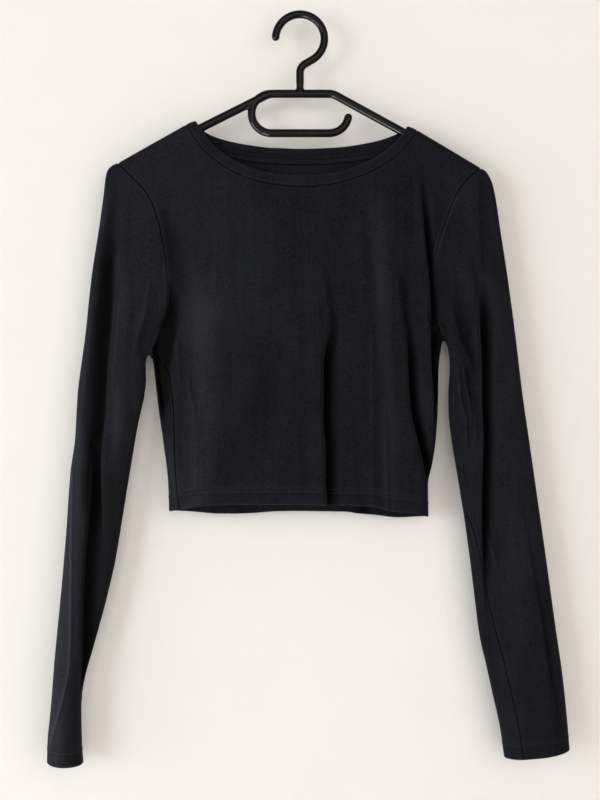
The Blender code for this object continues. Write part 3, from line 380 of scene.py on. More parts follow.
# %% List the folds
Fold = namedtuple("Fold", "face lift before step after depth fade points")
FOLDS = [
    # front: beside the left armhole, down into the armpit
    Fold(FRONT, 1.4, 15, 4.0, 9, 7.5, (95, 12),
         [(120, 132), (121, 172), (122.5, 202), (125, 232), (128, 262), (129, 282), (130, 300),
          (130.5, 312)]),
    Fold(FRONT, 1.0, 8, 3.5, 15, 8.5, (14, 40),
         [(129.5, 306), (130, 330), (130.3, 345), (132, 362), (133.5, 385), (133, 425)]),
    # front: from the chest down to the hem, soft above a kink and sharp below it
    Fold(FRONT, 0.6, 12, 5, 8, 2.2, (50, 14),
         [(22, 228), (25, 262), (29, 287), (31.5, 310), (33, 328)]),
    Fold(FRONT, 0.3, 6, 5, 7, 1.2, (16, 14), [(19.5, 275), (20.5, 295), (24, 318)]),
    Fold(FRONT, 1.5, 18, 3.8, 16, 9.5, (62, 4),
         [(31.5, 284), (31, 304), (29, 316), (25, 330), (22.8, 344), (22.6, 372), (22.4, 402),
          (24.6, 432), (24.4, 462), (25.6, 480), (27, 520)]),
    Fold(FRONT, 0.5, 5, 3, 6, 1.7, (20, 30),
         [(33, 352), (33.5, 385), (34.5, 402), (33, 432), (34, 470)]),
    # front: the left flank
    Fold(FRONT, 0.5, 9, 8, 8, 1.6, (20, 16), [(99, 250), (102, 285), (105, 306), (107, 322)]),
    Fold(FRONT, 1.8, 22, 4.5, 12, 8.0, (80, 10),
         [(103, 275), (105.5, 306), (106.5, 330), (107, 350), (108, 375), (109.6, 392), (112, 405),
          (115.5, 418), (119, 432), (122.3, 446), (127, 464)]),
    Fold(FRONT, 0.4, 5, 3, 5, 1.6, (8, 20), [(113.5, 405), (115.5, 428), (116.5, 450)]),
    Fold(FRONT, 2.2, 18, 18, 16, 0.6, (60, 10), [(80, 262), (79, 340), (79, 430), (80, 520)]),
    Fold(FRONT, 0.9, 6.5, 5.0, 8, 0.8, (45, 5), [(86, 370), (87, 440), (88, 480), (89, 520)]),
    # front: the right half, soft diagonals
    Fold(FRONT, 0.8, 24, 20, 22, 1.3, (50, 40),
         [(-27, 318), (-36, 352), (-46, 384), (-58, 410), (-78, 446), (-92, 480)]),
    Fold(FRONT, 0.5, 9, 7, 10, 1.0, (25, 25), [(-24, 312), (-21, 335), (-15, 358)]),
    Fold(FRONT, 0.5, 9, 6, 9, 0.9, (20, 30), [(-37, 372), (-46, 390), (-60, 412)]),
    # front: the hollow of the right armpit, and small wrinkles at the right flank
    Fold(FRONT, 0.3, 5, 3.0, 16, 7.5, (45, 50),
         [(-129, 250), (-130.5, 280), (-134, 300), (-139.5, 313), (-144.5, 324), (-147.5, 338),
          (-147, 360), (-145, 375), (-141, 400), (-137.5, 430)]),
    Fold(FRONT, 0.6, 14, 12, 14, 2.4, (40, 20), [(-139, 185), (-131, 232), (-127, 262), (-126, 290)]),
    Fold(FRONT, 0.8, 6, 6, 6, 0.6, (22, 24), [(-120, 312), (-118.5, 345), (-116, 376)]),
    Fold(FRONT, 0.8, 6, 5, 7, 0.8, (20, 22), [(-111, 346), (-107.5, 372), (-102, 404)]),
    Fold(FRONT, 0.6, 6, 6, 7, 0.6, (20, 22), [(-95, 338), (-92.5, 364), (-94, 394)]),
    Fold(FRONT, 1.2, 11, 12, 12, 0.8, (50, 10), [(-101, 350), (-100, 400), (-98, 440), (-99, 520)]),
    Fold(FRONT, 0.7, 9, 9, 9, 0.5, (40, 8), [(-112, 390), (-111, 440), (-109, 520)]),
    # front: faint falls from the neck and the shoulders
    Fold(FRONT, 0.3, 12, 14, 14, 0.6, (40, 50), [(60, 185), (64, 240), (62, 310)]),
    Fold(FRONT, 0.3, 12, 14, 14, 0.6, (40, 50), [(-62, 180), (-66, 235), (-64, 300)]),
    Fold(FRONT, 0.4, 10, 10, 12, 0.7, (25, 40), [(93, 150), (96, 190), (94, 245)]),
    Fold(FRONT, 0.5, 9, 9, 11, 1.1, (25, 30), [(137, 165), (136, 200), (133, 228)]),
    Fold(FRONT, 0.3, 14, 12, 14, 0.6, (50, 50), [(2, 280), (4, 340), (1, 420), (2, 470)]),
    Fold(FRONT, 0.5, 14, 10, 14, 0.8, (40, 20), [(56, 350), (54, 410), (57, 470), (56, 520)]),
    # back
    Fold(BACK, 1.2, 18, 7, 16, 5.0, (60, 30), [(-104, 150), (-108, 230), (-102, 330), (-98, 420)]),
    Fold(BACK, 1.5, 18, 6, 16, 5.0, (70, 15), [(64, 262), (60, 340), (56, 420), (54, 520)]),
    Fold(BACK, 3.0, 18, 16, 18, 0.8, (70, 15), [(-40, 315), (-32, 390), (-33, 520)]),
    Fold(BACK, 1.2, 16, 7, 16, 4.0, (50, 40), [(103, 190), (99, 270), (92, 350), (88, 400)]),
    Fold(BACK, 0.6, 16, 14, 18, 2.2, (50, 50), [(10, 170), (8, 230), (-4, 320)]),
    Fold(BACK, 0.7, 12, 9, 12, 1.6, (40, 15), [(-74, 400), (-70, 450), (-69, 520)]),
    Fold(BACK, 0.7, 12, 9, 12, 1.6, (40, 15), [(92, 420), (88, 470), (86, 520)]),
    Fold(BACK, 0.5, 10, 8, 12, 1.4, (30, 40), [(134, 175), (132, 215), (126, 262)]),
    Fold(BACK, 0.5, 10, 8, 12, 1.4, (30, 40), [(-138, 175), (-132, 225), (-128, 270)]),
    # right sleeve, front: the long deep fold, drawn upwards, and the flap that lies over it below
    Fold(FRONT, 1.0, 14, 6, 20, 8.0, (60, 100),
         [(-194, 535), (-196, 500), (-197.5, 452), (-195.5, 422), (-192.5, 392), (-191, 362),
          (-189.5, 332), (-188.5, 302), (-187.5, 272), (-186.5, 242), (-185.5, 212), (-183.5, 182),
          (-182, 162)]),
    Fold(FRONT, 1.2, 16, 3.0, 20, 10.0, (45, 20),
         [(-207.5, 415), (-208.5, 438), (-209, 472), (-210, 492), (-211.5, 512), (-213.5, 542),
          (-215, 572), (-216.3, 602), (-217.3, 632), (-218.2, 662), (-219, 676)]),
    Fold(FRONT, 1.1, 4, 3.4, 5, 0.4, (20, 8),
         [(-225.3, 440), (-225.4, 492), (-225.2, 542), (-225, 600), (-226, 642), (-231, 670),
          (-240, 704), (-246.5, 724)]),
    Fold(FRONT, 0.9, 8, 7, 8, 1.0, (35, 35), [(-176, 170), (-174, 205), (-178, 245), (-181, 290)]),
    Fold(FRONT, 1.5, 9, 9, 9, 0.3, (35, 35), [(-172, 268), (-176, 300), (-180, 345), (-183, 385)]),
    Fold(FRONT, 0.9, 6, 6, 6, 1.8, (16, 22), [(-147, 258), (-150, 280), (-154, 302), (-160, 322)]),
    Fold(FRONT, 0.6, 5, 5, 6, 1.6, (14, 18), [(-157, 300), (-160, 322), (-166, 345)]),
    Fold(FRONT, 0.5, 8, 8, 9, 0.8, (30, 30), [(-168, 372), (-173, 410), (-180, 450)]),
    # left sleeve, front
    Fold(FRONT, 0.6, 10, 6, 9, 2.0, (20, 30), [(179.5, 152), (178.5, 180), (180, 212), (181, 262)]),
    Fold(FRONT, 0.3, 6, 6, 8, 1.2, (20, 20), [(185, 205), (189, 242), (188.5, 275)]),
    Fold(FRONT, 1.2, 14, 3.2, 13, 9.0, (60, 120),
         [(180, 250), (180.2, 282), (180.3, 312), (180.8, 342), (180.8, 382), (182.3, 422),
          (181, 462), (180.6, 500), (181.5, 545), (187, 615)]),
    Fold(FRONT, 0.8, 9, 4.5, 11, 2.0, (28, 26),
         [(150.5, 262), (153.5, 290), (158, 312), (164, 332), (171, 348), (174, 370)]),
    Fold(FRONT, 0.8, 5.5, 4, 6, 1.5, (20, 22), [(162, 338), (166.5, 368), (170.5, 392), (171, 420)]),
    Fold(FRONT, 0.7, 5.5, 4, 6, 1.4, (20, 22), [(170, 366), (175, 396), (175.5, 430)]),
    Fold(FRONT, 0.7, 5, 4, 5, 1.3, (20, 20), [(158, 346), (161, 380), (166.5, 405), (167, 436)]),
    Fold(FRONT, 0.9, 5, 4.5, 6, 1.6, (16, 30), [(184.5, 492), (188.5, 515), (194, 538), (198, 560)]),
    Fold(FRONT, 0.8, 5, 4.5, 6, 1.2, (12, 20), [(191, 500), (195, 520), (197, 545)]),
    Fold(FRONT, 0.8, 12, 3.0, 6, 1.5, (90, 30),
         [(216.5, 470), (220, 487), (225, 512), (229.5, 542), (234.5, 572), (239.5, 602),
          (243.5, 632), (248, 662), (252.5, 687), (257, 712)]),
    Fold(FRONT, 0.6, 9, 9, 11, 1.0, (40, 40), [(194, 180), (198, 230), (203, 290)]),
    # sleeves, back
    Fold(BACK, 1.2, 16, 7, 16, 5.0, (60, 60), [(-170, 215), (-176, 320), (-186, 430), (-200, 560)]),
    Fold(BACK, 1.2, 16, 7, 16, 5.0, (60, 60), [(197, 225), (206, 340), (213, 450), (225, 575)]),
    Fold(BACK, 0.9, 8, 6, 8, 2.2, (25, 30), [(-158, 300), (-163, 345), (-168, 395)]),
    Fold(BACK, 0.9, 8, 6, 8, 2.2, (25, 30), [(160, 295), (167, 340), (176, 395)]),
    Fold(BACK, 0.9, 10, 7, 10, 2.6, (40, 20), [(-222, 560), (-230, 630), (-238, 700), (-242, 730)]),
    Fold(BACK, 0.9, 10, 7, 10, 2.6, (40, 20), [(236, 560), (245, 630), (252, 690), (256, 720)]),
]
print("folds:", len(FOLDS))

# %% [markdown]
# The relief is how far the folds push the cloth out at any place. Each fold is turned into a fine
# smooth line, and every point finds its nearest place on it and which side it is on. A few very
# shallow waves with drawn lots for their places keep the flats from looking pressed.

# %% Define one fold and the shallow waves
LINE_PARTS = 28
RIPPLES = 16
RIPPLE_LEAN = 0.15
# Folds get painted shade in the trough, full from this depth, and a painted crest highlight.
FULL_SHADE_DEPTH = 6.5
SHADE_FROM, SHADE_UNTIL = 0.4, 0.2
POINTED = 0.3
CREST_HIGHLIGHT, CREST_HIGHLIGHT_WIDTH = 50.0, 1.9
draw = np.random.default_rng(11)
Ripple = namedtuple("Ripple", "height wide tall phase lean")
ripples = [
    Ripple(draw.uniform(0.03, 0.09), draw.uniform(18, 70), draw.uniform(150, 500),
           draw.uniform(0, 2 * math.pi), draw.uniform(-1, 1))
    for _ in range(RIPPLES)
]


def beside_line(points, across, drop):
    """Distance from a line, positive on its second side, the place along it, and its length."""
    line = through(points)(np.linspace(0, 1, LINE_PARTS + 1))
    nearest = np.full(across.shape, np.inf)
    place = np.zeros(across.shape)
    side = np.ones(across.shape)
    run = 0.0
    for start, end in zip(line[:-1], line[1:]):
        length = np.linalg.norm(end - start)
        heading = (end - start) / length
        dx, dz = across - start[0], drop - start[1]
        t = np.clip(dx * heading[0] + dz * heading[1], 0, length)
        away = np.hypot(dx - t * heading[0], dz - t * heading[1])
        closer = away < nearest
        place = np.where(closer, run + t, place)
        side = np.where(closer, dx * heading[1] - dz * heading[0], side)
        nearest = np.where(closer, away, nearest)
        run += length
    return nearest * np.sign(side), place, run


def fold_shape(fold, across, drop):
    """What one fold does at each place: height, painted shade and painted crest highlight."""
    signed, place, run = beside_line(fold.points, across, drop)
    fade_in, fade_out = fold.fade
    fade = ease(place, 0, fade_in) * ease(run - place, 0, fade_out)
    half = fold.step / 2
    after = fold.after * (POINTED + (1 - POINTED) * fade)
    crest = fold.lift * hill(np.maximum(0, -signed - half), fold.before)
    trough = -fold.depth * hill(np.maximum(0, signed - half), after)
    over = ease(signed, -half, half)
    # Painted shade fills the trough beside the step; a painted highlight runs along the crest's edge.
    shut = min(1.0, fold.depth / FULL_SHADE_DEPTH)
    inside = 1 - ease(signed - half, SHADE_UNTIL * after, after)
    painted_shade = shut * ease(signed, -half, SHADE_FROM * half) * inside
    crest_highlight = CREST_HIGHLIGHT * (fold.lift / fold.before) ** 2 * hill(np.abs(signed + half), CREST_HIGHLIGHT_WIDTH)
    return (crest * (1 - over) + trough * over) * fade, painted_shade * fade, crest_highlight * fade

# %% Add up the folds of a face
def folds_at(face, across, drop):
    """Height of one face's folds and shallow waves, with painted shade and painted highlights."""
    across, drop = np.broadcast_arrays(np.asarray(across, float), np.asarray(drop, float))
    height, painted_shade, crest_highlight = (np.zeros(across.shape) for _ in range(3))
    for fold in FOLDS:
        if fold.face != face:
            continue
        reach = max(fold.before, fold.after) + fold.step
        low = np.min(fold.points, axis=0) - reach
        high = np.max(fold.points, axis=0) + reach
        near = (across > low[0]) & (across < high[0]) & (drop > low[1]) & (drop < high[1])
        if not near.any():
            continue
        raised, shut, edge = fold_shape(fold, across[near], drop[near])
        height[near] += raised
        painted_shade[near] = np.maximum(painted_shade[near], shut)
        crest_highlight[near] = np.maximum(crest_highlight[near], edge)
    for ripple in ripples:
        turn = (across + ripple.lean * drop * RIPPLE_LEAN) / ripple.wide + drop / ripple.tall
        height += ripple.height * np.sin(2 * math.pi * turn + ripple.phase + face)
    return height, painted_shade, crest_highlight


def fold_relief(face, across, drop):
    """Only the height of one face's folds."""
    return folds_at(face, across, drop)[0]


def fold_marks(points, on_front):
    """Painted shade and painted crest highlights of the folds at points of a sheet."""
    across, drop = points[..., 0], -points[..., 2]
    _, front_painted_shade, front_crest_highlight = folds_at(FRONT, across, drop)
    _, back_painted_shade, back_crest_highlight = folds_at(BACK, across, drop)
    return np.where(on_front, front_painted_shade, back_painted_shade), np.where(on_front, front_crest_highlight, back_crest_highlight)

# %% [markdown]
# These broad soft bands paint the light and shade of the broad folds: paler strips where the
# cloth faces the light, darker ones where it turns away. They are listed like the folds. A tone
# above 0 is paler. One far below 0 is painted deep shade, for a pocket so deep that hardly any
# light comes out.

# %% List the bands of painted light and shade
Band = namedtuple("Band", "faces tone half_width points")
BAND_END, BAND_END_SHARE = 65.0, 0.35
BANDS = [
    # front of the body, from the right side to the left
    Band((FRONT,), 0.45, 9, [(-129, 410), (-127, 450), (-123, 500)]),
    Band((FRONT,), 0.56, 24, [(-97, 235), (-98, 280), (-96, 330), (-97, 380), (-101, 440),
                              (-110, 560)]),
    Band((FRONT,), 0.23, 90, [(-150, 60), (-110, 150), (-90, 230), (-80, 350)]),
    # Painted deep shade in the right armpit.
    Band((FRONT,), -3.3, 11.5, [(-129, 284), (-130, 296), (-131.5, 312), (-134.5, 327), (-137, 342),
                                (-139.5, 357), (-137.5, 373), (-136, 400)]),
    Band((FRONT,), -0.16, 12, [(-142, 175), (-133, 215), (-125, 262)]),
    Band((FRONT,), -0.12, 18, [(-30, 290), (-34, 380), (-37, 450)]),
    Band((FRONT,), -0.06, 9, [(-50, 372), (-62, 415), (-79, 462)]),
    Band((FRONT,), 0.05, 45, [(62, 120), (70, 200), (72, 300)]),
    Band((FRONT,), 0.10, 11, [(8, 210), (11, 290), (10, 370), (11, 480)]),
    Band((FRONT,), -0.10, 14, [(42, 350), (46, 430), (47, 490)]),
    Band((FRONT,), 0.46, 13, [(76, 165), (80, 270), (85, 350), (87, 420), (88, 520)]),
    Band((FRONT,), -0.30, 8, [(101, 245), (104, 290), (105, 330)]),
    Band((FRONT,), -0.12, 9, [(112, 130), (109, 190), (113, 240)]),
    Band((FRONT,), 0.12, 9, [(118, 345), (125, 385), (128, 420)]),
    # Painted deep shade in the left armpit.
    Band((FRONT,), -2.2, 5.5, [(130.5, 285), (131, 297), (133.5, 307), (136.5, 316), (138.5, 330)]),
    # right sleeve
    Band((FRONT, BACK), 0.60, 8, [(-187, 148), (-198, 212), (-206, 272), (-214, 332), (-221, 402),
                                  (-228, 462)]),
    Band((FRONT, BACK), 0.80, 19, [(-218, 380), (-226, 482), (-230, 542), (-233, 602), (-238, 662),
                                   (-242, 722), (-242, 780)]),
    Band((FRONT,), 0.22, 36, [(-172, 110), (-166, 240), (-168, 330)]),
    Band((FRONT,), 0.52, 10, [(-174, 225), (-177, 322), (-182, 382), (-186, 460)]),
    Band((FRONT,), 0.36, 8, [(-155, 280), (-161, 315), (-165, 355)]),
    Band((FRONT,), 0.26, 22, [(-165, 330), (-176, 400), (-184, 470)]),
    # left sleeve
    Band((FRONT,), 0.16, 60, [(175, 110), (192, 220), (205, 340), (218, 470), (228, 600)]),
    Band((FRONT,), -0.22, 6, [(181, 150), (180, 190), (181.5, 275)]),
    Band((FRONT,), -0.40, 12, [(153, 262), (164, 325), (171, 410)]),
    Band((FRONT,), -0.16, 13, [(180, 570), (186, 640), (200, 700)]),
    Band((FRONT,), 0.16, 20, [(206, 460), (212, 560), (218, 650)]),
    Band((FRONT,), -0.20, 7, [(238, 560), (246, 630), (254, 700), (260, 760)]),
    # back
    Band((BACK,), 0.32, 20, [(80, 210), (88, 300), (84, 400), (90, 500)]),
    Band((BACK,), 0.26, 16, [(-60, 230), (-70, 330), (-66, 430), (-72, 500)]),
    Band((BACK,), -0.16, 20, [(18, 200), (14, 300), (8, 420)]),
    Band((BACK,), 0.22, 50, [(0, 130), (4, 190)]),
    Band((BACK,), 0.34, 10, [(226, 330), (238, 450), (250, 580)]),
    Band((BACK,), 0.30, 10, [(186, 210), (196, 330), (203, 450)]),
]


def band_tone(points, on_front):
    """Sum of the bands of painted light and shade at points of a sheet."""
    across, drop = points[..., 0], -points[..., 2]
    tone = np.zeros(across.shape)
    for band in BANDS:
        signed, place, run = beside_line(band.points, across, drop)
        soft_end = min(BAND_END_SHARE * run, BAND_END)
        ends = ease(place, 0, soft_end) * ease(run - place, 0, soft_end)
        seen = np.where(on_front, FRONT in band.faces, BACK in band.faces)
        tone += band.tone * hill(np.abs(signed), band.half_width) * ends * seen
    return tone

# %% [markdown]
# ## The body's skin
# The body is a flat bag: straight down its faces, and rolled round at its side edges and over the
# hanger's arms. `skin` takes a place measured flat on one face, as a tape would lie on the cloth,
# and gives the point in space, rolling it round the side edge and onto the other face if need be.

# %% Define the skin
FLAT_OF_BODY = (0.7, 1.0)
CHEST_DROP = 250.0


def ridge_ends(side):
    """Tip and neck point of a shoulder's ridge, each as across and drop."""
    return np.array(RIDGES[side][:2]), np.array(RIDGES[side][2:])


def ridge_drop(across):
    """Drop of the ridge over the hanger's arms, and on towards the middle of the neck."""
    result = np.zeros(np.shape(across))
    for side, ridge in RIDGES.items():
        slope = (ridge.tip_drop - ridge.neck_drop) / abs(ridge.tip_across - ridge.neck_across)
        out = np.abs(across) - abs(ridge.neck_across)
        line = ridge.neck_drop + np.where(out > 0, slope, RIDGE_SLOPE_AT_NECK) * out
        result = np.where(np.sign(across) == side, line, result)
    return result


def other_face(flat, drop, side):
    """A place on one face, round the folded side edge, on the other face's measure."""
    radius = RADIUS(drop)
    turn = EDGE[side](drop) - side * radius
    return 2 * turn + side * math.pi * radius - flat


def edge_place(side, drop):
    """Where the folded side edge is, measured flat on either face."""
    return EDGE[side](drop) + side * (math.pi / 2 - 1) * RADIUS(drop)


def skin(face, flat, drop):
    """Outer skin of the body at a place measured flat on one face, as x, y, z."""
    flat, drop = np.broadcast_arrays(np.asarray(flat, float), np.asarray(drop, float))
    radius = RADIUS(drop)
    x = flat.copy()
    sideways = np.zeros(flat.shape)
    for side in (RIGHT, LEFT):
        turn = EDGE[side](drop) - side * radius
        past = side * (flat - turn)
        angle = np.clip(past / radius, 0, math.pi)
        beyond = np.clip(past - math.pi * radius, 0, None)
        bent = turn + side * (radius * np.sin(angle) - beyond)
        x = np.where(past > 0, bent, x)
        sideways = np.where(past > 0, angle, sideways)
    facing = np.cos(sideways)
    now_face = np.where(facing >= 0, face, -face)
    level = (x - (EDGE[RIGHT](drop) + EDGE[LEFT](drop)) / 2) / (
        (EDGE[LEFT](drop) - EDGE[RIGHT](drop)) / 2 - radius
    )
    middle = np.clip(1 - level ** 2, 0, 1) ** 2 * np.abs(facing)
    fuller = np.where(now_face == FRONT, FULLNESS[FRONT](drop), FULLNESS[BACK](drop)) * middle
    flat_part = ease(np.abs(facing), *FLAT_OF_BODY)
    folds = np.where(now_face == FRONT, fold_relief(FRONT, x, drop), fold_relief(BACK, x, drop))
    below = np.clip((drop - ridge_drop(x)) * SQUARE_TO_RIDGE / radius, 0, 1)
    arch = np.sqrt(1 - (1 - below) ** 2)
    standing = arch * (radius * facing * face + now_face * (fuller + folds * flat_part))
    return np.stack([x, MIDDLE(drop) - standing, -drop], -1)


chest = [skin(face, [0.0], CHEST_DROP)[0, 1] for face in (FRONT, BACK)]
print("body: %.1f mm deep at the chest" % (chest[1] - chest[0]))

# %% [markdown]
# ## Rows and columns
# A sheet is a grid. Its rows close up where the cloth turns over the ridge, at the underarm and
# round the two stitch rows of the hem, and its columns close up beside the seams. Elsewhere the
# lines of the grid lie 1 to 3 mm apart, which is enough for the folds. Distances are in
# millimetres along the armhole and the side seam.

# %% Lay out the rows and columns
ARMHOLE_LENGTH = 236.0
OVER_THE_RIDGE = [0, 0.07, 0.28, 0.62, 1.08, 1.65, 2.4, 3.2, 4.1, 5.1, 6.2, 7.4, 8.8, 10.6, 12.8]
TO_THE_UNDERARM = [9.0, 6.2, 4.0, 2.4, 1.2, 0.5, 0]
ARMHOLE_SPACING = 3.2
BESIDE_SEAM = [0, 0.3, 0.65, 1.05, 1.55, 2.2, 3.1, 4.3]
PAST_SEAM = [6.0, 8.0]
BODY_SPACING = 2.5
TO_THE_EDGE = [10.2, 8.8, 7.2, 5.6, 4.2, 3.0, 2.0, 1.3, 0.8, 0.4, 0.15, 0]
HEM_ROWS = [17.4, 16.7, 16.2, 15.8, 15.4, 14.9, 14.4, 13.9, 13.4, 12.9, 12.4, 12.0, 11.6, 11.1,
            *TO_THE_EDGE]
STITCH_UP = (12.0, 15.8)
BODY_HEIGHT = 350.0
SIDE_LENGTH = 160.0


def evenly(start, end, spacing):
    """Places from start to end, without the ends, about a spacing apart."""
    count = max(2, int(round(abs(end - start) / spacing)))
    return list(np.linspace(start, end, count + 1)[1:-1])


def rows_above(length, beside, near_edge, spacing):
    """Heights of a sheet's rows: close beside its top seam, even, and close near its edge."""
    return np.array(
        [length - place for place in beside]
        + evenly(length - beside[-1], near_edge[0], spacing)
        + near_edge
    )


armhole_places = np.array(
    OVER_THE_RIDGE
    + evenly(OVER_THE_RIDGE[-1], ARMHOLE_LENGTH - TO_THE_UNDERARM[0], ARMHOLE_SPACING)
    + [ARMHOLE_LENGTH - left for left in TO_THE_UNDERARM]
)
armhole_steps = armhole_places / ARMHOLE_LENGTH
side_ups = rows_above(SIDE_LENGTH, BESIDE_SEAM[1:] + PAST_SEAM, HEM_ROWS, BODY_SPACING)
underarm_share = 1 - SIDE_LENGTH / BODY_HEIGHT
panel_rows = np.concatenate([underarm_share * armhole_steps, 1 - side_ups / BODY_HEIGHT])
panel_ups = (1 - panel_rows) * BODY_HEIGHT
print("rows: %d along an armhole, %d below it" % (len(armhole_steps), len(side_ups)))

# %% [markdown]
# `panel` stretches the grid between the four borders of the cut piece, the way the cloth hangs
# between its seams. Near the hem the rows keep an equal height above the edge, so that the stitch
# rows run level with it. Then every row is shared out again by its true length over the folds, so
# the steep sides of a fold get as many points as the flats.

# %% Define a panel's borders
SHOULDER_SHARE = 0.21
LEVEL_UP_TO = 25.0
HEM_PASSES = 2


def side_drops(side):
    """Drops of the side seam's rows, equal heights above the hem near the hem."""
    top, bottom = UNDERARM_DROP[side], SIDE_SEAMS[side][-1].drop
    longer = (bottom - top) - SIDE_LENGTH
    return bottom - (side_ups + longer * ease(side_ups, LEVEL_UP_TO, SIDE_LENGTH))


def side_border(face, side):
    """Armhole and side seam of a panel, top to bottom, measured flat on the panel's face."""
    top = UNDERARM_DROP[side]
    seam = column([Edge(top, edge_place(side, top))] + SIDE_SEAMS[side], "across")
    drops = np.concatenate([[top], side_drops(side)])
    across = seam(drops)
    if face != SEAM_FACE[side]:
        across = other_face(across, drops, side)
    armhole = through(ARMHOLES[face, side] + [Point(across[0], drops[0])])(armhole_steps)
    return np.concatenate([armhole, np.stack([across, drops], -1)[1:]])


def top_border(face, columns):
    """Shoulder seam, neck seam and shoulder seam of a panel, right to left."""
    result = np.zeros((len(columns), 2))
    for side, from_tip in ((RIGHT, columns), (LEFT, 1 - columns)):
        tip, neck_point = ridge_ends(side)
        on_shoulder = from_tip <= SHOULDER_SHARE
        share = from_tip[on_shoulder, None] / SHOULDER_SHARE
        result[on_shoulder] = tip + (neck_point - tip) * share
    on_neck = (columns > SHOULDER_SHARE) & (columns < 1 - SHOULDER_SHARE)
    share = (columns[on_neck] - SHOULDER_SHARE) / (1 - 2 * SHOULDER_SHARE)
    result[on_neck] = through(NECK_SEAMS[face])(share)
    return result


def hem_border(face, columns, right_end, left_end):
    """Hem of a panel between its two side seams, right to left."""
    flat = right_end[0] + (left_end[0] - right_end[0]) * columns
    drop = right_end[1] + (left_end[1] - right_end[1]) * columns
    for _ in range(HEM_PASSES):
        shape = skin(face, flat, drop)
        on_front = shape[..., 1] < MIDDLE(drop)
        drop = np.where(on_front, HEM[FRONT](shape[..., 0]), HEM[BACK](shape[..., 0]))
    drop[0], drop[-1] = right_end[1], left_end[1]
    return np.stack([flat, drop], -1)

# %% Define how a row is shared out
def lengths_along(points):
    """Running length along the second-last axis of a row, or of every row."""
    steps = np.linalg.norm(np.diff(points, axis=-2), axis=-1)
    return np.concatenate([np.zeros(steps.shape[:-1] + (1,)), np.cumsum(steps, -1)], -1)


def seam_spacing(length, count, close_start, close_end):
    """Places from 0 to a length that close up towards the ends that lie beside a seam."""
    first = BESIDE_SEAM if close_start else [0]
    last = [length - place for place in reversed(BESIDE_SEAM)] if close_end else [length]
    middle = np.linspace(first[-1], last[0], count + 1 - len(first) - len(last) + 2)
    return np.concatenate([first[:-1], middle, last[1:]])


def read_row(row, run, places):
    """Points of a row at these places of its run."""
    return np.stack([np.interp(places, run, row[:, axis]) for axis in range(3)], -1)


def shared_out(row, places):
    """Points of a row at these places along its length."""
    return read_row(row, lengths_along(row), places)

# %% Make the front and the back
DENSE_COLUMNS = 640
SHOULDER_COLUMNS = 44
NECK_COLUMNS = 118
BEND_DECAY = 3
STRETCHED_FROM = 140.0


def panel(face):
    """Front or back: a grid of skin points, rows from the top, columns from right to left."""
    dense = np.linspace(0, 1, DENSE_COLUMNS + 1)
    left, right = side_border(face, LEFT), side_border(face, RIGHT)
    top = top_border(face, dense)
    bottom = hem_border(face, dense, right[-1], left[-1])
    height = bottom[:, 1] - top[:, 1]
    up = panel_ups[:, None]
    stretch = (height[None, :] / BODY_HEIGHT - 1) * ease(up, LEVEL_UP_TO, STRETCHED_FROM)
    level_up = up * (1 + stretch)
    v = np.clip(1 - level_up / height[None, :], 0, 1)[..., None]
    u = dense[None, :, None]
    straight = (1 - v) * top + v * bottom
    right_bend = right[:, None] - straight[:, :1]
    left_bend = left[:, None] - straight[:, -1:]
    flat = straight + (1 - u) ** BEND_DECAY * right_bend + u ** BEND_DECAY * left_bend
    points = skin(face, flat[..., 0], flat[..., 1])
    parts = (
        (0, SHOULDER_SHARE, SHOULDER_COLUMNS, True, False),
        (SHOULDER_SHARE, 1 - SHOULDER_SHARE, NECK_COLUMNS, False, False),
        (1 - SHOULDER_SHARE, 1, SHOULDER_COLUMNS, False, True),
    )
    grid = []
    for row in points:
        pieces = []
        for start, end, count, close_start, close_end in parts:
            inside = dense[(dense > start + HAIR) & (dense < end - HAIR)]
            part = read_row(row, dense, np.concatenate([[start], inside, [end]]))
            length = lengths_along(part)[-1]
            pieces.append(shared_out(part, seam_spacing(length, count, close_start, close_end)))
        grid.append(np.concatenate([pieces[0][:-1], pieces[1], pieces[2][1:]]))
    return np.array(grid)


front_skin, back_skin = panel(FRONT), panel(BACK)
print("panels: %d x %d points each" % front_skin.shape[:2])

# %% [markdown]
# ## The sleeves
# A sleeve is rings of points from the armhole to the cuff. The first ring is the panels' own
# armhole points, so the sleeve is sewn in exactly. Each ring leaves the armhole sideways, turns
# down, and settles into the flattened tube of the table. The middle column of the grid starts at
# the underarm and follows the seam that closes the tube.

# %% Lay out a sleeve's rings
CUFF_ROWS = [18.0, 17.2, 16.6, 16.2, 15.8, 15.2, 14.6, 14.1, 13.6, 13.1, 12.6, 12.2, 11.8, 11.2,
             *TO_THE_EDGE]
CUFF_STITCH_UP = (12.2, 16.2)
SLEEVE_SPACING = 3.0

beside_head = BESIDE_SEAM + PAST_SEAM + [10.5]
sleeve_ups = rows_above(SLEEVE_LENGTH, beside_head, CUFF_ROWS, SLEEVE_SPACING)


def ring_angles():
    """Angle of each armhole point: outer edge, over the front, underarm, back."""
    steps = armhole_steps
    spread = OUTER_SPREAD * (1 - np.exp(-steps / OUTER_SPREAD_OVER)) * (1 - steps) ** 4
    half = math.pi * (denser_at_ends(steps) + spread)
    return np.concatenate([half, 2 * math.pi - half[::-1][1:]])


print("sleeve: %d rings of %d points" % (len(sleeve_ups), len(ring_angles())))

# %% Define one ring
FLAT_OF_SLEEVE = (0.16, 0.62)
FOLDS_FROM = 0.03


def edge_point(rows, along):
    """Point of a sleeve's outer or inner edge at a share of its length, as x and drop."""
    drop = rows[0].drop + (rows[-1].drop - rows[0].drop) * along
    return column(rows, "across")(drop), drop


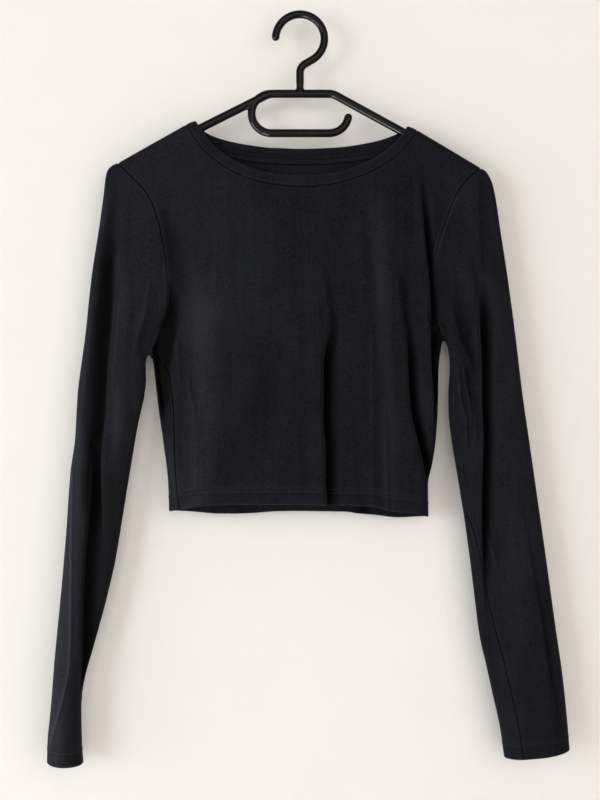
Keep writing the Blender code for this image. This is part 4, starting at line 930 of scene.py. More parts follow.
def sleeve_ring(side, along, angles):
    """One ring of a sleeve as it would run on straight from the shoulder."""
    outer_x, outer_drop = edge_point(OUTER_EDGES[side], along)
    inner_x, inner_drop = edge_point(INNER_EDGES[side], along)
    front, back, apex, power = (
        column(SECTIONS[side], name, key="along")(along)
        for name in ("front", "back", "apex", "round")
    )
    chord = (1 - np.cos(angles)) / 2
    x = outer_x + (inner_x - outer_x) * chord
    drop = outer_drop + (inner_drop - outer_drop) * chord
    from_apex = np.where(chord < apex, (apex - chord) / apex, (chord - apex) / (1 - apex))
    thick = (1 - np.clip(from_apex, 0, 1) ** power) ** (1 / power)
    on_front = angles <= math.pi
    depth = np.where(on_front, front, -back) * thick
    folds = np.where(on_front, fold_relief(FRONT, x, drop), -fold_relief(BACK, x, drop))
    folded = ease(thick, *FLAT_OF_SLEEVE) * ease(along, 0, FOLDS_FROM)
    return np.stack([x, -(depth + folds * folded), -drop], -1)

# %% [markdown]
# The first rings have to leave the armhole's own bowed shape and become the flattened tube. So
# each ring is given what is left of the difference, which fades out over a quarter of the length
# at the sleeve's head, and almost at once at the underarm, where the cloth falls straight down.

# %% Make the sleeves
DENSE_PER_COLUMN = 4
LEAST_BOW = 0.35
SLEEVE_STRETCHED_FROM = 160.0
SETTLED_BY = 0.12


def sleeve(side, front, back):
    """Sleeve rings from the armhole to the cuff, on the panels' own armhole points."""
    border = 0 if side == RIGHT else -1
    half = len(armhole_steps)
    armhole = np.concatenate([front[:half, border], back[:half, border][::-1][1:]])
    own = np.arange(len(armhole))
    fine = np.linspace(0, own[-1], own[-1] * DENSE_PER_COLUMN + 1)
    angles = np.interp(fine, own, ring_angles())
    fine_armhole = np.stack([rising(own, armhole[:, axis])(fine) for axis in range(3)], -1)
    chord = (1 - np.cos(angles)) / 2
    reach = HEAD_REACH + (UNDERARM_REACH - HEAD_REACH) * ease(chord, *REACH_CHANGE)
    sideways = ease(chord, 0, SIDEWAYS_FROM)[:, None]
    straight = sleeve_ring(side, np.zeros(len(angles)), angles)
    bow = np.abs(fine_armhole[:, 0] - straight[:, 0]) + LEAST_BOW
    outer, inner = (rows[-1].drop - rows[0].drop for rows in (OUTER_EDGES[side], INNER_EDGES[side]))
    length = outer * (1 - chord) + inner * chord
    turn = column(SLEEVE_SEAMS[side], "turn", key="along")
    own_share = lengths_along(armhole) / lengths_along(armhole)[-1]
    rings = [armhole]
    for up in sleeve_ups[1:]:
        level = 1 - ease(up, LEVEL_UP_TO, SLEEVE_STRETCHED_FROM)
        level_up = up * (1 + (SLEEVE_LENGTH / length - 1) * level)
        along = np.clip(1 - level_up / SLEEVE_LENGTH, 0, 1)
        ring = sleeve_ring(side, along, angles)
        outwards = np.zeros(ring.shape)
        outwards[:, 0] = side * bow * (1 - np.exp(-along * SLEEVE_LENGTH / bow))
        held = 1 - ease(along, 0, reach)[:, None]
        ring = ring + held * (fine_armhole - straight + sideways * (outwards - (ring - straight)))
        run = lengths_along(ring)
        share_of_length = 1 - up / SLEEVE_LENGTH
        seam_at = np.interp(math.pi * turn(share_of_length), angles, run)
        first = seam_spacing(seam_at, half - 1, False, True)
        second = seam_at + seam_spacing(run[-1] - seam_at, half - 1, True, False)
        even = np.concatenate([first, second[1:]])
        settled = ease(share_of_length, 0, SETTLED_BY)
        rings.append(shared_out(ring, own_share * run[-1] * (1 - settled) + even * settled))
    rings = np.array(rings)
    rings[:, -1] = rings[:, 0]
    return rings


sleeve_skins = {side: sleeve(side, front_skin, back_skin) for side in (RIGHT, LEFT)}
print("sleeves: %d x %d points each" % sleeve_skins[LEFT].shape[:2])

# %% [markdown]
# ## The neckband and the tape
# The band is a strip folded in half and sewn on by its raw edges, so its upper edge is a soft
# fold. It lies on the same skin as the body, 11 mm wide. The tape covers the back neck seam from
# the inside, as factories do to keep it from scratching and stretching.

# %% Define the neckband and the tape
BAND_WIDTH = 11.0
NECK_POINT_SHARE = 0.06
HEADING_STEP = 0.002
BAND_ROWS = [0, 0.3, 0.65, 1.1, 1.8, 2.9, 4.2, 5.6, 7.0, 8.2, 9.2, 9.9, 10.4, 10.7, 10.88, 10.97,
             BAND_WIDTH]
TAPE_ROWS = [-5.6, -5.5, -5.2, -4.7, -4.3, -3.9, -3.3, -2.0, -0.6, 0.6, 1.8, 2.7, 3.1, 3.5, 3.9,
             4.1, 4.2]
TAPE_STITCHES = (-3.9, 3.1)
FRONT_BAND_COLUMNS = 190
BACK_BAND_COLUMNS = 150
TAPE_COLUMNS = 150
TAPE_REACH = (0.075, 0.925)


def neck_place(face, share, beside):
    """Places beside the neck seam, measured on the face, towards the opening if positive."""
    curve = through(NECK_SEAMS[face])
    before, after = (curve(np.clip(share + step, 0, 1)) for step in (-HEADING_STEP, HEADING_STEP))
    heading = unit(after - before)
    to_opening = np.stack([heading[..., 1], -heading[..., 0]], -1)
    for end, side in ((0, RIGHT), (1, LEFT)):
        uphill = unit(np.array([-side, -RIDGE_SLOPE_AT_NECK]))
        near = 1 - ease(np.abs(share - end), 0, NECK_POINT_SHARE)[..., None]
        to_opening = to_opening * (1 - near) + uphill * near
    return curve(share) + beside[..., None] * to_opening


def neck_strip(face, steps, rows):
    """Lines of points beside the neck seam at these distances from it."""
    beside, share = np.meshgrid(rows, steps, indexing="ij")
    places = neck_place(face, share, beside)
    return skin(face, places[..., 0], places[..., 1])


front_steps = denser_at_ends(np.linspace(0, 1, FRONT_BAND_COLUMNS + 1))
back_steps = denser_at_ends(np.linspace(0, 1, BACK_BAND_COLUMNS + 1))
front_band = neck_strip(FRONT, front_steps, BAND_ROWS)
back_band = neck_strip(BACK, back_steps[::-1], BAND_ROWS)
band_skin = np.concatenate([front_band[:, :-1], back_band], axis=1)
band_skin[:, -1] = band_skin[:, 0]
tape_skin = neck_strip(BACK, np.linspace(*TAPE_REACH, TAPE_COLUMNS + 1), TAPE_ROWS)
print("neckband: %.0f mm round its seam" % lengths_along(band_skin[0])[-1])

# %% [markdown]
# ## Sewing: grooves, tunnels and walls
# Where two pieces are sewn, both dip into a narrow groove. A twin needle pulls the cloth into a
# flat tunnel between its two rows, with a fine groove under each. These are small pushes along
# the cloth's own normal. Pieces that meet share their normals at the seam, so the groove closes.
# The wall is then made by extruding the skin and moving the copy inwards by the cloth's
# thickness. At a fold, such as the hem's edge, both skins curl in until they meet.

# %% Define shared normals
OUTWARD = {"front": -1, "back": 1, "sleeve_right": -1, "sleeve_left": 1, "neckband": 1,
           "neck_tape": 1}
KEYS_PER_MM = 200


def grid_normals(points, outward):
    """Area-weighted normals of a grid's points, before neighbours are added."""
    along_u = points[:, 1:] - points[:, :-1]
    along_v = points[1:] - points[:-1]
    face = outward * (
        np.cross(along_u[:-1], along_v[:, :-1]) + np.cross(along_u[1:], along_v[:, 1:])
    ) / 2
    total = np.zeros(points.shape)
    total[:-1, :-1] += face
    total[:-1, 1:] += face
    total[1:, :-1] += face
    total[1:, 1:] += face
    return total


def border_places(points):
    """Grid places on the four borders."""
    rows, columns = points.shape[:2]
    return [(r, c) for r in (0, rows - 1) for c in range(columns)] + [
        (r, c) for r in range(1, rows - 1) for c in (0, columns - 1)
    ]


def place_key(point):
    """A point as whole numbers, the same for points of two pieces that meet."""
    return tuple(int(round(value * KEYS_PER_MM)) for value in point)


def shared_normals(skins):
    """Unit normals for every skin, the same where borders meet."""
    raw = {name: grid_normals(points, OUTWARD[name]) for name, points in skins.items()}
    sums = defaultdict(lambda: np.zeros(3))
    for name, points in skins.items():
        for place in border_places(points):
            sums[place_key(points[place])] += raw[name][place]
    for name, points in skins.items():
        for place in border_places(points):
            raw[name][place] = sums[place_key(points[place])]
    return {name: unit(normal) for name, normal in raw.items()}

# %% Define the relief of the sewing
JERSEY = 0.85
SEAM_GAP, MOST_OF_A_STEP = 0.12, 0.4
SEAM_DEPTH, SEAM_WIDTH = 0.95, 0.75
TUNNEL, TUNNEL_REACH = 0.28, 0.62
ROW_DEPTH, ROW_WIDTH = 0.3, 0.45


def from_top(points):
    """Distance of every grid point from the first row, along its column."""
    return lengths_along(points.swapaxes(0, 1)).swapaxes(0, 1)


def from_sides(points):
    """Distance of every grid point from the first and from the last column, along its row."""
    run = lengths_along(points)
    return run, run[:, -1:] - run


def groove(distance, depth=SEAM_DEPTH, width=SEAM_WIDTH):
    """Dip beside a seam."""
    return depth * bell(distance, width)


def twin_needle(up, rows):
    """Push of two stitch rows at these heights above an edge: a tunnel between two grooves."""
    low, high = rows
    tunnel = TUNNEL * hill(np.abs(up - (low + high) / 2), (high - low) * TUNNEL_REACH)
    return tunnel - sum(groove(up - row, ROW_DEPTH, ROW_WIDTH) for row in rows)


def curled(up, radius):
    """How far a skin has curled in at a height above a folded edge."""
    short = np.clip(radius - up, 0, radius)
    return radius - np.sqrt(radius ** 2 - short ** 2)


def drawn_back(points, border):
    """The grid with one border drawn back by half the gap of a seam."""
    edge, inside = {
        "top": (np.s_[0], np.s_[1]),
        "right": (np.s_[:, 0], np.s_[:, 1]),
        "left": (np.s_[:, -1], np.s_[:, -2]),
    }[border]
    step = points[inside] - points[edge]
    far = np.maximum(np.linalg.norm(step, axis=-1, keepdims=True), HAIR)
    moved = points.copy()
    moved[edge] += step * np.minimum(SEAM_GAP / 2 / far, MOST_OF_A_STEP)
    return moved

# %% Define how a sheet becomes a mesh
shown = []


def to_object(name, bm, is_piece=True):
    """A smooth mesh object in the scene, listed as shown if it is a piece of the top."""
    mesh = bpy.data.meshes.new(name)
    bm.to_mesh(mesh)
    bm.free()
    mesh.shade_smooth()
    thing = bpy.data.objects.new(name, mesh)
    bpy.context.scene.collection.objects.link(thing)
    if is_piece:
        shown.append(thing)
    return thing


def sheet_mesh(name, outer, inner, flat, marks, closed):
    """Wall of cloth between two skins. flat is each point's place on the cut cloth, in metres."""
    rows, columns = outer.shape[:2]
    bm = bmesh.new()
    place = bm.verts.layers.int.new("place")
    layers = {mark: bm.verts.layers.float.new(mark) for mark in marks}
    cloth_uv = bm.loops.layers.uv.new("cloth")
    bmesh.ops.create_grid(bm, x_segments=columns - 1, y_segments=rows - 1, size=1)
    outer_co = (outer * MM).reshape(-1, 3).tolist()
    inner_co = (inner * MM).reshape(-1, 3).tolist()
    flat_list = flat.reshape(-1, 2).tolist()
    mark_lists = {
        mark: np.broadcast_to(values, (rows, columns)).reshape(-1).tolist()
        for mark, values in marks.items()
    }
    for vert in bm.verts:
        row = round((1 - vert.co.y) / 2 * (rows - 1))
        col = round((1 + vert.co.x) / 2 * (columns - 1))
        here = row * columns + col
        vert[place] = here
        for mark, layer in layers.items():
            vert[layer] = mark_lists[mark][here]
        vert.co = outer_co[here]
    for face in bm.faces:
        for loop in face.loops:
            loop[cloth_uv].uv = flat_list[loop.vert[place]]
    if closed:
        bmesh.ops.remove_doubles(bm, verts=bm.verts[:], dist=1e-7)
    extruded = bmesh.ops.extrude_face_region(bm, geom=bm.faces[:])
    for vert in (item for item in extruded["geom"] if isinstance(item, bmesh.types.BMVert)):
        vert.co = inner_co[vert[place]]
    bmesh.ops.remove_doubles(bm, verts=bm.verts[:], dist=2e-6)
    bmesh.ops.recalc_face_normals(bm, faces=bm.faces[:])
    thing = to_object(name, bm)
    print("%-16s %6d faces" % (name, len(thing.data.polygons)))
    return thing

# %% [markdown]
# The four large pieces get their sewing here. The hem and the cuffs are turned up once, so the
# cloth is double below the upper stitch row. Each sheet carries five marks for its finish: one
# that makes it paler, for wear and a painted highlight along the folded edge and painted
# highlights on the tunnel, above the upper stitch row, beside the seams and on the fold crests;
# the tone of the bands of painted light and shade; painted shade in fold troughs, seam grooves
# and armpits; a mark along the stitch rows for the needle holes; and the run, the length along
# each row in millimetres, which spaces the needle holes.

# %% Define the walls and their marks
HEM_FOLD = 0.85
HEM_TURN, TURN_STEP = 16.6, 0.8
# Paler marks: wear and a painted highlight on the folded edge, painted highlights on the rest.
EDGE_WEAR_AND_HIGHLIGHT, EDGE_PALE_WIDTH = 1.2, 0.9
TUNNEL_HIGHLIGHT, TUNNEL_HIGHLIGHT_WIDTH = 0.45, 1.9
ROW_HIGHLIGHT, ROW_HIGHLIGHT_AWAY, ROW_HIGHLIGHT_WIDTH = 0.5, 1.2, 0.6
SEAM_HIGHLIGHT, SEAM_HIGHLIGHT_AWAY, SEAM_HIGHLIGHT_WIDTH = 0.25, 1.7, 0.8
LIT_SEAM_DROPS, LIT_SEAM_HIGHLIGHT = (172, 186, 276, 292), 0.6
CREST_HIGHLIGHT_PALE = 0.6
SEAM_LINE, SEAM_LINE_WIDTH = 0.8, 0.8
NEEDLE_WIDTH = 0.85
DEEP_SHADE_TONE = 0.7


def wall_skins(points, normal, push, thick, up, radius):
    """Outer and inner skin, curled together at the folded edge that up is measured from."""
    curl = curled(up, radius)
    outer = points + normal * np.expand_dims(push - curl, -1)
    inner = points + normal * np.expand_dims(push - np.maximum(thick - curl, curl), -1)
    return outer, inner


def turned_up(up):
    """Thickness of the cloth: double below the turn."""
    return JERSEY * (1 + ease(HEM_TURN - up, 0, TURN_STEP))


def finish_marks(points, normal, up, rows, seam_run):
    """The marks of a sheet with stitch rows above its lower edge and seams beside it."""
    on_front = normal[..., 1] < 0
    painted_shade, crest_highlight = fold_marks(points, on_front)
    drop = -points[..., 2]
    # Painted highlight: the front's left armhole seam catches the light between these drops.
    start, from_here, to_here, end = LIT_SEAM_DROPS
    pale = ease(drop, start, from_here) * (1 - ease(drop, to_here, end))
    pale = pale * (points[..., 0] > 0) * on_front
    # Painted shade down each seam's groove, except where that seam catches the light.
    seam_line = bell(seam_run, SEAM_LINE_WIDTH) * (1 - pale)
    beside_seam = bell(seam_run - SEAM_HIGHLIGHT_AWAY, SEAM_HIGHLIGHT_WIDTH)
    # Paler: wear and a painted highlight at the folded edge, painted highlights on the others.
    wear_and_highlight = (
        EDGE_WEAR_AND_HIGHLIGHT * np.exp(-up / EDGE_PALE_WIDTH)
        + TUNNEL_HIGHLIGHT * hill(np.abs(up - sum(rows) / 2), TUNNEL_HIGHLIGHT_WIDTH)
        + ROW_HIGHLIGHT * bell(up - rows[1] - ROW_HIGHLIGHT_AWAY, ROW_HIGHLIGHT_WIDTH)
        + (SEAM_HIGHLIGHT + LIT_SEAM_HIGHLIGHT * pale) * beside_seam
        + CREST_HIGHLIGHT_PALE * crest_highlight
    )
    tone = band_tone(points, on_front)
    # Bands far below 0 become painted deep shade, with no paleness there.
    painted_deep_shade = np.clip(-tone - DEEP_SHADE_TONE, 0, 1)
    return {
        "wear_and_highlight": wear_and_highlight * (1 - painted_deep_shade),
        "tone": tone,
        "painted_shade": np.maximum.reduce([painted_shade, painted_deep_shade, SEAM_LINE * seam_line]),
        "needle": sum(bell(up - row, NEEDLE_WIDTH) for row in rows),
        "run": lengths_along(points),
    }

# %% Sew the front and the back
skins = {
    "front": front_skin,
    "back": back_skin,
    "sleeve_right": sleeve_skins[RIGHT],
    "sleeve_left": sleeve_skins[LEFT],
    "neckband": band_skin,
}
normals = shared_normals(skins)
sewn = {}

for name in ("front", "back"):
    points = skins[name]
    up = np.broadcast_to(panel_ups[:, None], points.shape[:2])
    right_run, left_run = from_sides(points)
    top_run = from_top(points)
    seams = np.maximum.reduce([groove(top_run), groove(right_run), groove(left_run)])
    push = -seams + twin_needle(up, STITCH_UP)
    moved = drawn_back(drawn_back(drawn_back(points, "top"), "right"), "left")
    outer, inner = wall_skins(moved, normals[name], push, turned_up(up), up, HEM_FOLD)
    seam_run = np.minimum.reduce([top_run, right_run, left_run])
    marks = finish_marks(outer, normals[name], up, STITCH_UP, seam_run)
    across = right_run - right_run[:, right_run.shape[1] // 2][:, None]
    down = np.broadcast_to((top_run[:, top_run.shape[1] // 2] * MM)[:, None], across.shape)
    flat = np.stack([across * MM, -down], -1)
    sewn[name] = sheet_mesh(name + "_cloth", outer, inner, flat, marks, False), outer

# %% [markdown]
# A sleeve is sewn like the body, with one more groove: the underarm seam, down the middle column.
# It starts a few millimetres below the armhole, where that seam's own groove ends.

# %% Sew the sleeves
SLEEVE_GROOVE, GROOVE_STARTS_BY = (0.6, 0.6), 4

for name in ("sleeve_right", "sleeve_left"):
    points = skins[name]
    up = np.broadcast_to(sleeve_ups[:, None], points.shape[:2])
    run = lengths_along(points)
    middle = len(armhole_steps) - 1
    seam_run = np.abs(run - run[:, middle][:, None])
    top_run = from_top(points)
    down_the_seam = ease(top_run[:, middle][:, None], 0, GROOVE_STARTS_BY)
    seams = np.maximum(groove(top_run), groove(seam_run, *SLEEVE_GROOVE) * down_the_seam)
    push = -seams + twin_needle(up, CUFF_STITCH_UP)
    moved = drawn_back(points, "top")
    outer, inner = wall_skins(moved, normals[name], push, turned_up(up), up, HEM_FOLD)
    seam_run = np.minimum(top_run, seam_run + 3 * (1 - down_the_seam))
    marks = finish_marks(outer, normals[name], up, CUFF_STITCH_UP, seam_run)
    flat = np.stack([(run - run[:, middle][:, None]) * MM, -(SLEEVE_LENGTH - up) * MM], -1)
    sewn[name] = sheet_mesh(name + "_cloth", outer, inner, flat, marks, True), outer

# %% [markdown]
# The neckband is plump, because two layers of jersey and the seam's turnings are inside it. Its
# outer side is slightly crowned between the seam and the fold.

# %% Sew the neckband
BAND_THICK, BAND_FOLD = 2.1, 1.05
BAND_CROWN, CROWN_POWER = 0.55, 0.6
BAND_EDGE_WEAR_AND_HIGHLIGHT, BAND_EDGE_WIDTH = 0.9, 1.0
BAND_SEAM_HIGHLIGHT, BAND_SEAM_WIDTH = 0.3, 0.7
BAND_TONE = 0.05

beside = np.broadcast_to(np.array(BAND_ROWS)[:, None], band_skin.shape[:2])
to_fold = BAND_WIDTH - beside
crown = BAND_CROWN * np.sin(math.pi * np.clip(beside / BAND_WIDTH, 0, 1)) ** CROWN_POWER
outer, inner = wall_skins(drawn_back(band_skin, "top"), normals["neckband"],
                          crown - groove(beside), BAND_THICK, to_fold, BAND_FOLD)
run = lengths_along(band_skin)
flat = np.stack([run * MM, beside * MM], -1)
# Fold: wear and a painted highlight; beside the seam: painted highlight; its groove: painted shade.
edge_wear_and_highlight = BAND_EDGE_WEAR_AND_HIGHLIGHT * np.exp(-to_fold / BAND_EDGE_WIDTH)
marks = {
    "wear_and_highlight": edge_wear_and_highlight + BAND_SEAM_HIGHLIGHT * bell(beside - SEAM_HIGHLIGHT_AWAY, BAND_SEAM_WIDTH),
    "tone": BAND_TONE,
    "painted_shade": SEAM_LINE * bell(beside, SEAM_LINE_WIDTH),
    "needle": 0.0,
    "run": run,
}
sewn["neckband"] = sheet_mesh("neckband_cloth", outer, inner, flat, marks, True), outer

# %% [markdown]
# The tape lies inside, over the back neck seam. It rests on the jersey below the seam and on the
# band's turnings above it, so it steps up from one to the other. Its two stitch rows dent it.

# %% Sew the tape
TAPE_THICK, TAPE_CLEAR = 0.7, 0.25
TAPE_STEPS_UP = (-2.6, 1.4)
TAPE_DENT = (0.25, 0.4)
TAPE_ROW_HIGHLIGHT, TAPE_NEEDLE_WIDTH = 1.1, 0.8
TAPE_RIM, TAPE_RIM_WIDTH = 0.95, 0.9
TAPE_TONE = -0.05

beside = np.broadcast_to(np.array(TAPE_ROWS)[:, None], tape_skin.shape[:2])
inwards = unit(grid_normals(tape_skin, OUTWARD["neck_tape"]))
over_seam = ease(beside, *TAPE_STEPS_UP)
rest_on = (JERSEY + TAPE_CLEAR) * (1 - over_seam) + (BAND_THICK - TAPE_CLEAR) * over_seam
dent = sum(groove(beside - row, *TAPE_DENT) for row in TAPE_STITCHES)
rim = np.minimum(beside - TAPE_ROWS[0], TAPE_ROWS[-1] - beside)
curl = curled(rim, TAPE_THICK / 2)
thick = np.maximum(TAPE_THICK - curl - dent, curl)
near = tape_skin + inwards * np.expand_dims(rest_on + curl, -1)
far = tape_skin + inwards * np.expand_dims(rest_on + thick, -1)
run = lengths_along(tape_skin)
flat = np.stack([run * MM, beside * MM], -1)
# Painted highlights beside the stitch rows, painted shade along the tape's rims.
row_highlight = sum(bell(beside - row - ROW_HIGHLIGHT_AWAY, ROW_HIGHLIGHT_WIDTH) for row in TAPE_STITCHES)
marks = {
    "wear_and_highlight": TAPE_ROW_HIGHLIGHT * row_highlight,
    "tone": TAPE_TONE,
    "painted_shade": TAPE_RIM * bell(rim, TAPE_RIM_WIDTH),
    "needle": sum(bell(beside - row, TAPE_NEEDLE_WIDTH) for row in TAPE_STITCHES),
    "run": run,
}
sewn["neck_tape"] = sheet_mesh("neck_tape_cloth", far, near, flat, marks, False), far

# %% [markdown]
# ## Stitches
# A twin needle leaves two rows of short stitches on the outside. Each one is a small bead of
# thread that dips into its needle hole at both ends, so a squashed sphere of a few faces does,
# one about every 2.5 mm of seam, all joined in one mesh for each hem. The shade in the holes
# themselves is painted into the cloth's colour, from the same pitch.

# %% Sew the visible stitches
STITCH_PITCH = 2.55
STITCH_LENGTH = 1.45
STITCH_LIFT = 0.08
THREAD_WIDTH = 0.6
THREAD_HEIGHT = 0.3
HEADING_REACH = 0.6


def stitch_row(bm, line, normal):
    """Stitches along a line of points, lying on the cloth whose normals are given."""
    run = lengths_along(line)
    places = np.arange(STITCH_PITCH / 2, run[-1], STITCH_PITCH)
    back, on = (read_row(line, run, places + step) for step in (-HEADING_REACH, HEADING_REACH))
    size = Matrix.Diagonal((STITCH_LENGTH / 2, THREAD_WIDTH / 2, THREAD_HEIGHT / 2, 1))
    for at, up, heading in zip(read_row(line, run, places), read_row(normal, run, places), on - back):
        along, up = Vector(heading).normalized(), Vector(up)
        up = (up - along * up.dot(along)).normalized()
        turn = Matrix((along, up.cross(along), up)).transposed().to_4x4()
        place = Matrix.Translation((Vector(at) + up * STITCH_LIFT) * MM)
        bmesh.ops.create_uvsphere(bm, u_segments=6, v_segments=4, radius=MM,
                                  matrix=place @ turn @ size)
    return len(places)


def row_at(heights, wanted):
    """Index of the grid row that lies at a height."""
    return int(np.argmin(np.abs(np.asarray(heights) - wanted)))


stitches = {}
for name, heights, rows in (
    ("front", panel_ups, STITCH_UP),
    ("back", panel_ups, STITCH_UP),
    ("sleeve_right", sleeve_ups, CUFF_STITCH_UP),
    ("sleeve_left", sleeve_ups, CUFF_STITCH_UP),
    ("neck_tape", TAPE_ROWS, TAPE_STITCHES),
):
    bm = bmesh.new()
    surface = sewn[name][1]
    facing = unit(grid_normals(surface, OUTWARD[name]))
    count = 0
    for height in rows:
        row = row_at(heights, height)
        count += stitch_row(bm, surface[row], facing[row])
    stitches[name] = to_object(name + "_stitches", bm)
    print("%-16s %4d stitches" % (name, count))

# %% [markdown]
# ## The hanger
# The hanger is one moulding of round plastic tube: two arms and a bar, an open loop under the bar
# for straps, and a hook. Each run is a curve with a round bevel, and its radius shrinks at the
# last points to round the end. The three runs are then joined by a fine voxel remesh, which melts
# the corners together as a mould does, and a little smoothing finishes the fillets. The stem is
# a trace narrower just above the bar.

# %% Note the hanger's measurements
RAIL_TUBE, LOOP_TUBE, HOOK_TUBE = 7.8, 7.6, 7.4
BAR_DROP = 75.8
BAR_CORNER = {RIGHT: -30.8, LEFT: 32.8}
BAR_BEND = 16.0
ARM_END_INSET = 3.0
ARM_BELOW_SKIN = 1.5 + 0.35
LOOP_DROP, LOOP_TOP = 115.2, -27.0
LOOP_CENTRE = {RIGHT: -28.7, LEFT: 29.0}
LOOP_TIP_ANGLE = 12
HOOK_RADIUS, HOOK_TIP_ANGLE, HOOK_LEAVES_ANGLE = 24.4, 184, 420
STEM_BEND = 10.0
MELT_LOSS = 0.6

# %% Define arcs and rounded corners
def arc(centre, radius, start, end, steps):
    """Points round a centre in the hanger's plane, angles in degrees from +X towards down."""
    angles = np.radians(np.linspace(start, end, steps + 1))
    return [Point(centre[0] + radius * math.cos(a), centre[1] + radius * math.sin(a)) for a in angles]


def rounded(before, corner, after, radius, steps):
    """Arc that rounds a corner between two straight runs."""
    before, corner, after = (np.array(point, float) for point in (before, corner, after))
    back, on = unit(before - corner), unit(after - corner)
    half = math.acos(np.clip(back @ on, -1, 1)) / 2
    start = corner + back * radius / math.tan(half)
    end = corner + on * radius / math.tan(half)
    centre = corner + unit(back + on) * radius / math.sin(half)
    share = np.linspace(0, 1, steps + 1)[:, None]
    spokes = unit((start - centre) * (1 - share) + (end - centre) * share)
    return [Point(*place) for place in centre + spokes * radius]

# %% Lay out the hanger's runs
def arm_end(side):
    """Centre of an arm's end, just under the cloth at the shoulder tip."""
    tip, neck_point = ridge_ends(side)
    along = unit(neck_point - tip)
    inwards = np.array([-side * abs(along[1]), abs(along[0])])
    return Point(*(tip + along * ARM_END_INSET + inwards * (ARM_BELOW_SKIN + RAIL_TUBE / 2)))


def rail_path():
    """Right arm, top bar and left arm."""
    ends = {side: arm_end(side) for side in (RIGHT, LEFT)}
    corners = {side: Point(BAR_CORNER[side], BAR_DROP) for side in (RIGHT, LEFT)}
    path = [ends[RIGHT]]
    path += rounded(ends[RIGHT], corners[RIGHT], corners[LEFT], BAR_BEND, 12)
    path += rounded(corners[RIGHT], corners[LEFT], ends[LEFT], BAR_BEND, 12)
    return path + [ends[LEFT]]


def loop_path():
    """From inside the bar, round under it and up to the free tip."""
    radius = (LOOP_DROP - BAR_DROP) / 2
    middle = BAR_DROP + radius
    path = [Point(LOOP_TOP, BAR_DROP)]
    path += arc(Point(LOOP_CENTRE[RIGHT], middle), radius, 270, 90, 40)
    return path + arc(Point(LOOP_CENTRE[LEFT], middle), radius, 90, LOOP_TIP_ANGLE, 18)


def hook_path():
    """From the free tip over the crown, round to the stem and down to the bar."""
    path = arc(Point(0.0, HOOK_RADIUS - HOOK_TUBE / 2), HOOK_RADIUS,
               HOOK_TIP_ANGLE, HOOK_LEAVES_ANGLE, 64)
    leaving = path[-1]
    turned = math.radians(HOOK_LEAVES_ANGLE)
    to_stem = leaving.across / math.sin(turned)
    corner = Point(0.0, leaving.drop + to_stem * math.cos(turned))
    foot = Point(0.0, BAR_DROP)
    return path + rounded(leaving, corner, foot, STEM_BEND, 14) + [foot]


print("arm ends:", [tuple(round(float(part), 1) for part in arm_end(side)) for side in (RIGHT, LEFT)])

# %% Mould the hanger
ROUND_END = (88, 78, 66, 54, 42, 30, 20, 10)
BEVEL_PARTS = 8
VOXEL = 0.62
SMOOTHING, SMOOTHED_TIMES = 0.5, 4
NECK_STARTS, NECK_FULL, NECK_ENDS = 65.9, 66.9, 71.2
NECK_REACH, NARROWER = 4.2, 0.07


def tube_run(name, path, diameter):
    """A curve with a round bevel through a path, thicker by what the melting takes off it."""
    path = np.array(path, float)
    radius = (diameter + MELT_LOSS) / 2
    first, last = unit(path[0] - path[1]), unit(path[-1] - path[-2])
    caps = [(radius * math.sin(a), math.cos(a)) for a in np.radians(ROUND_END)]
    run = [(path[0] + first * beyond, size) for beyond, size in caps]
    run += [(point, 1.0) for point in path]
    run += [(path[-1] + last * beyond, size) for beyond, size in reversed(caps)]
    curve = bpy.data.curves.new(name, "CURVE")
    curve.dimensions = "3D"
    curve.bevel_depth = radius * MM
    curve.bevel_resolution = BEVEL_PARTS
    curve.use_fill_caps = True
    spline = curve.splines.new("POLY")
    spline.points.add(len(run) - 1)
    for knot, (point, size) in zip(spline.points, run):
        knot.co = (point[0] * MM, 0, -point[1] * MM, 1)
        knot.radius = size
    thing = bpy.data.objects.new(name, curve)
    bpy.context.scene.collection.objects.link(thing)
    return thing


runs = [
    tube_run("arms_and_bar", rail_path(), RAIL_TUBE),
    tube_run("loop", loop_path(), LOOP_TUBE),
    tube_run("hook", hook_path(), HOOK_TUBE),
]
graph = bpy.context.evaluated_depsgraph_get()
bm = bmesh.new()
for run_object in runs:
    bm.from_mesh(bpy.data.meshes.new_from_object(run_object.evaluated_get(graph)))
bmesh.ops.remove_doubles(bm, verts=bm.verts[:], dist=1e-6)
bmesh.ops.recalc_face_normals(bm, faces=bm.faces[:])
rough = to_object("hanger_rough", bm, is_piece=False)
melt = rough.modifiers.new("melt", "REMESH")
melt.mode = "VOXEL"
melt.voxel_size = VOXEL * MM
graph = bpy.context.evaluated_depsgraph_get()
bm = bmesh.new()
bm.from_mesh(bpy.data.meshes.new_from_object(rough.evaluated_get(graph)))
for thing in runs + [rough]:
    bpy.data.objects.remove(thing, do_unlink=True)
for _ in range(SMOOTHED_TIMES):
    bmesh.ops.smooth_vert(bm, verts=bm.verts[:], factor=SMOOTHING, use_axis_x=True,
                          use_axis_y=True, use_axis_z=True)
for vert in bm.verts:
    drop = -vert.co.z / MM
    if abs(vert.co.x) < NECK_REACH * MM and NECK_STARTS < drop < NECK_ENDS:
        narrow = 1 - NARROWER * ease(drop, NECK_STARTS, NECK_FULL)
        vert.co.x *= narrow
        vert.co.y *= narrow
bmesh.ops.recalc_face_normals(bm, faces=bm.faces[:])
hanger = to_object("hanger_moulding", bm)
print("hanger: %d faces" % len(hanger.data.polygons))

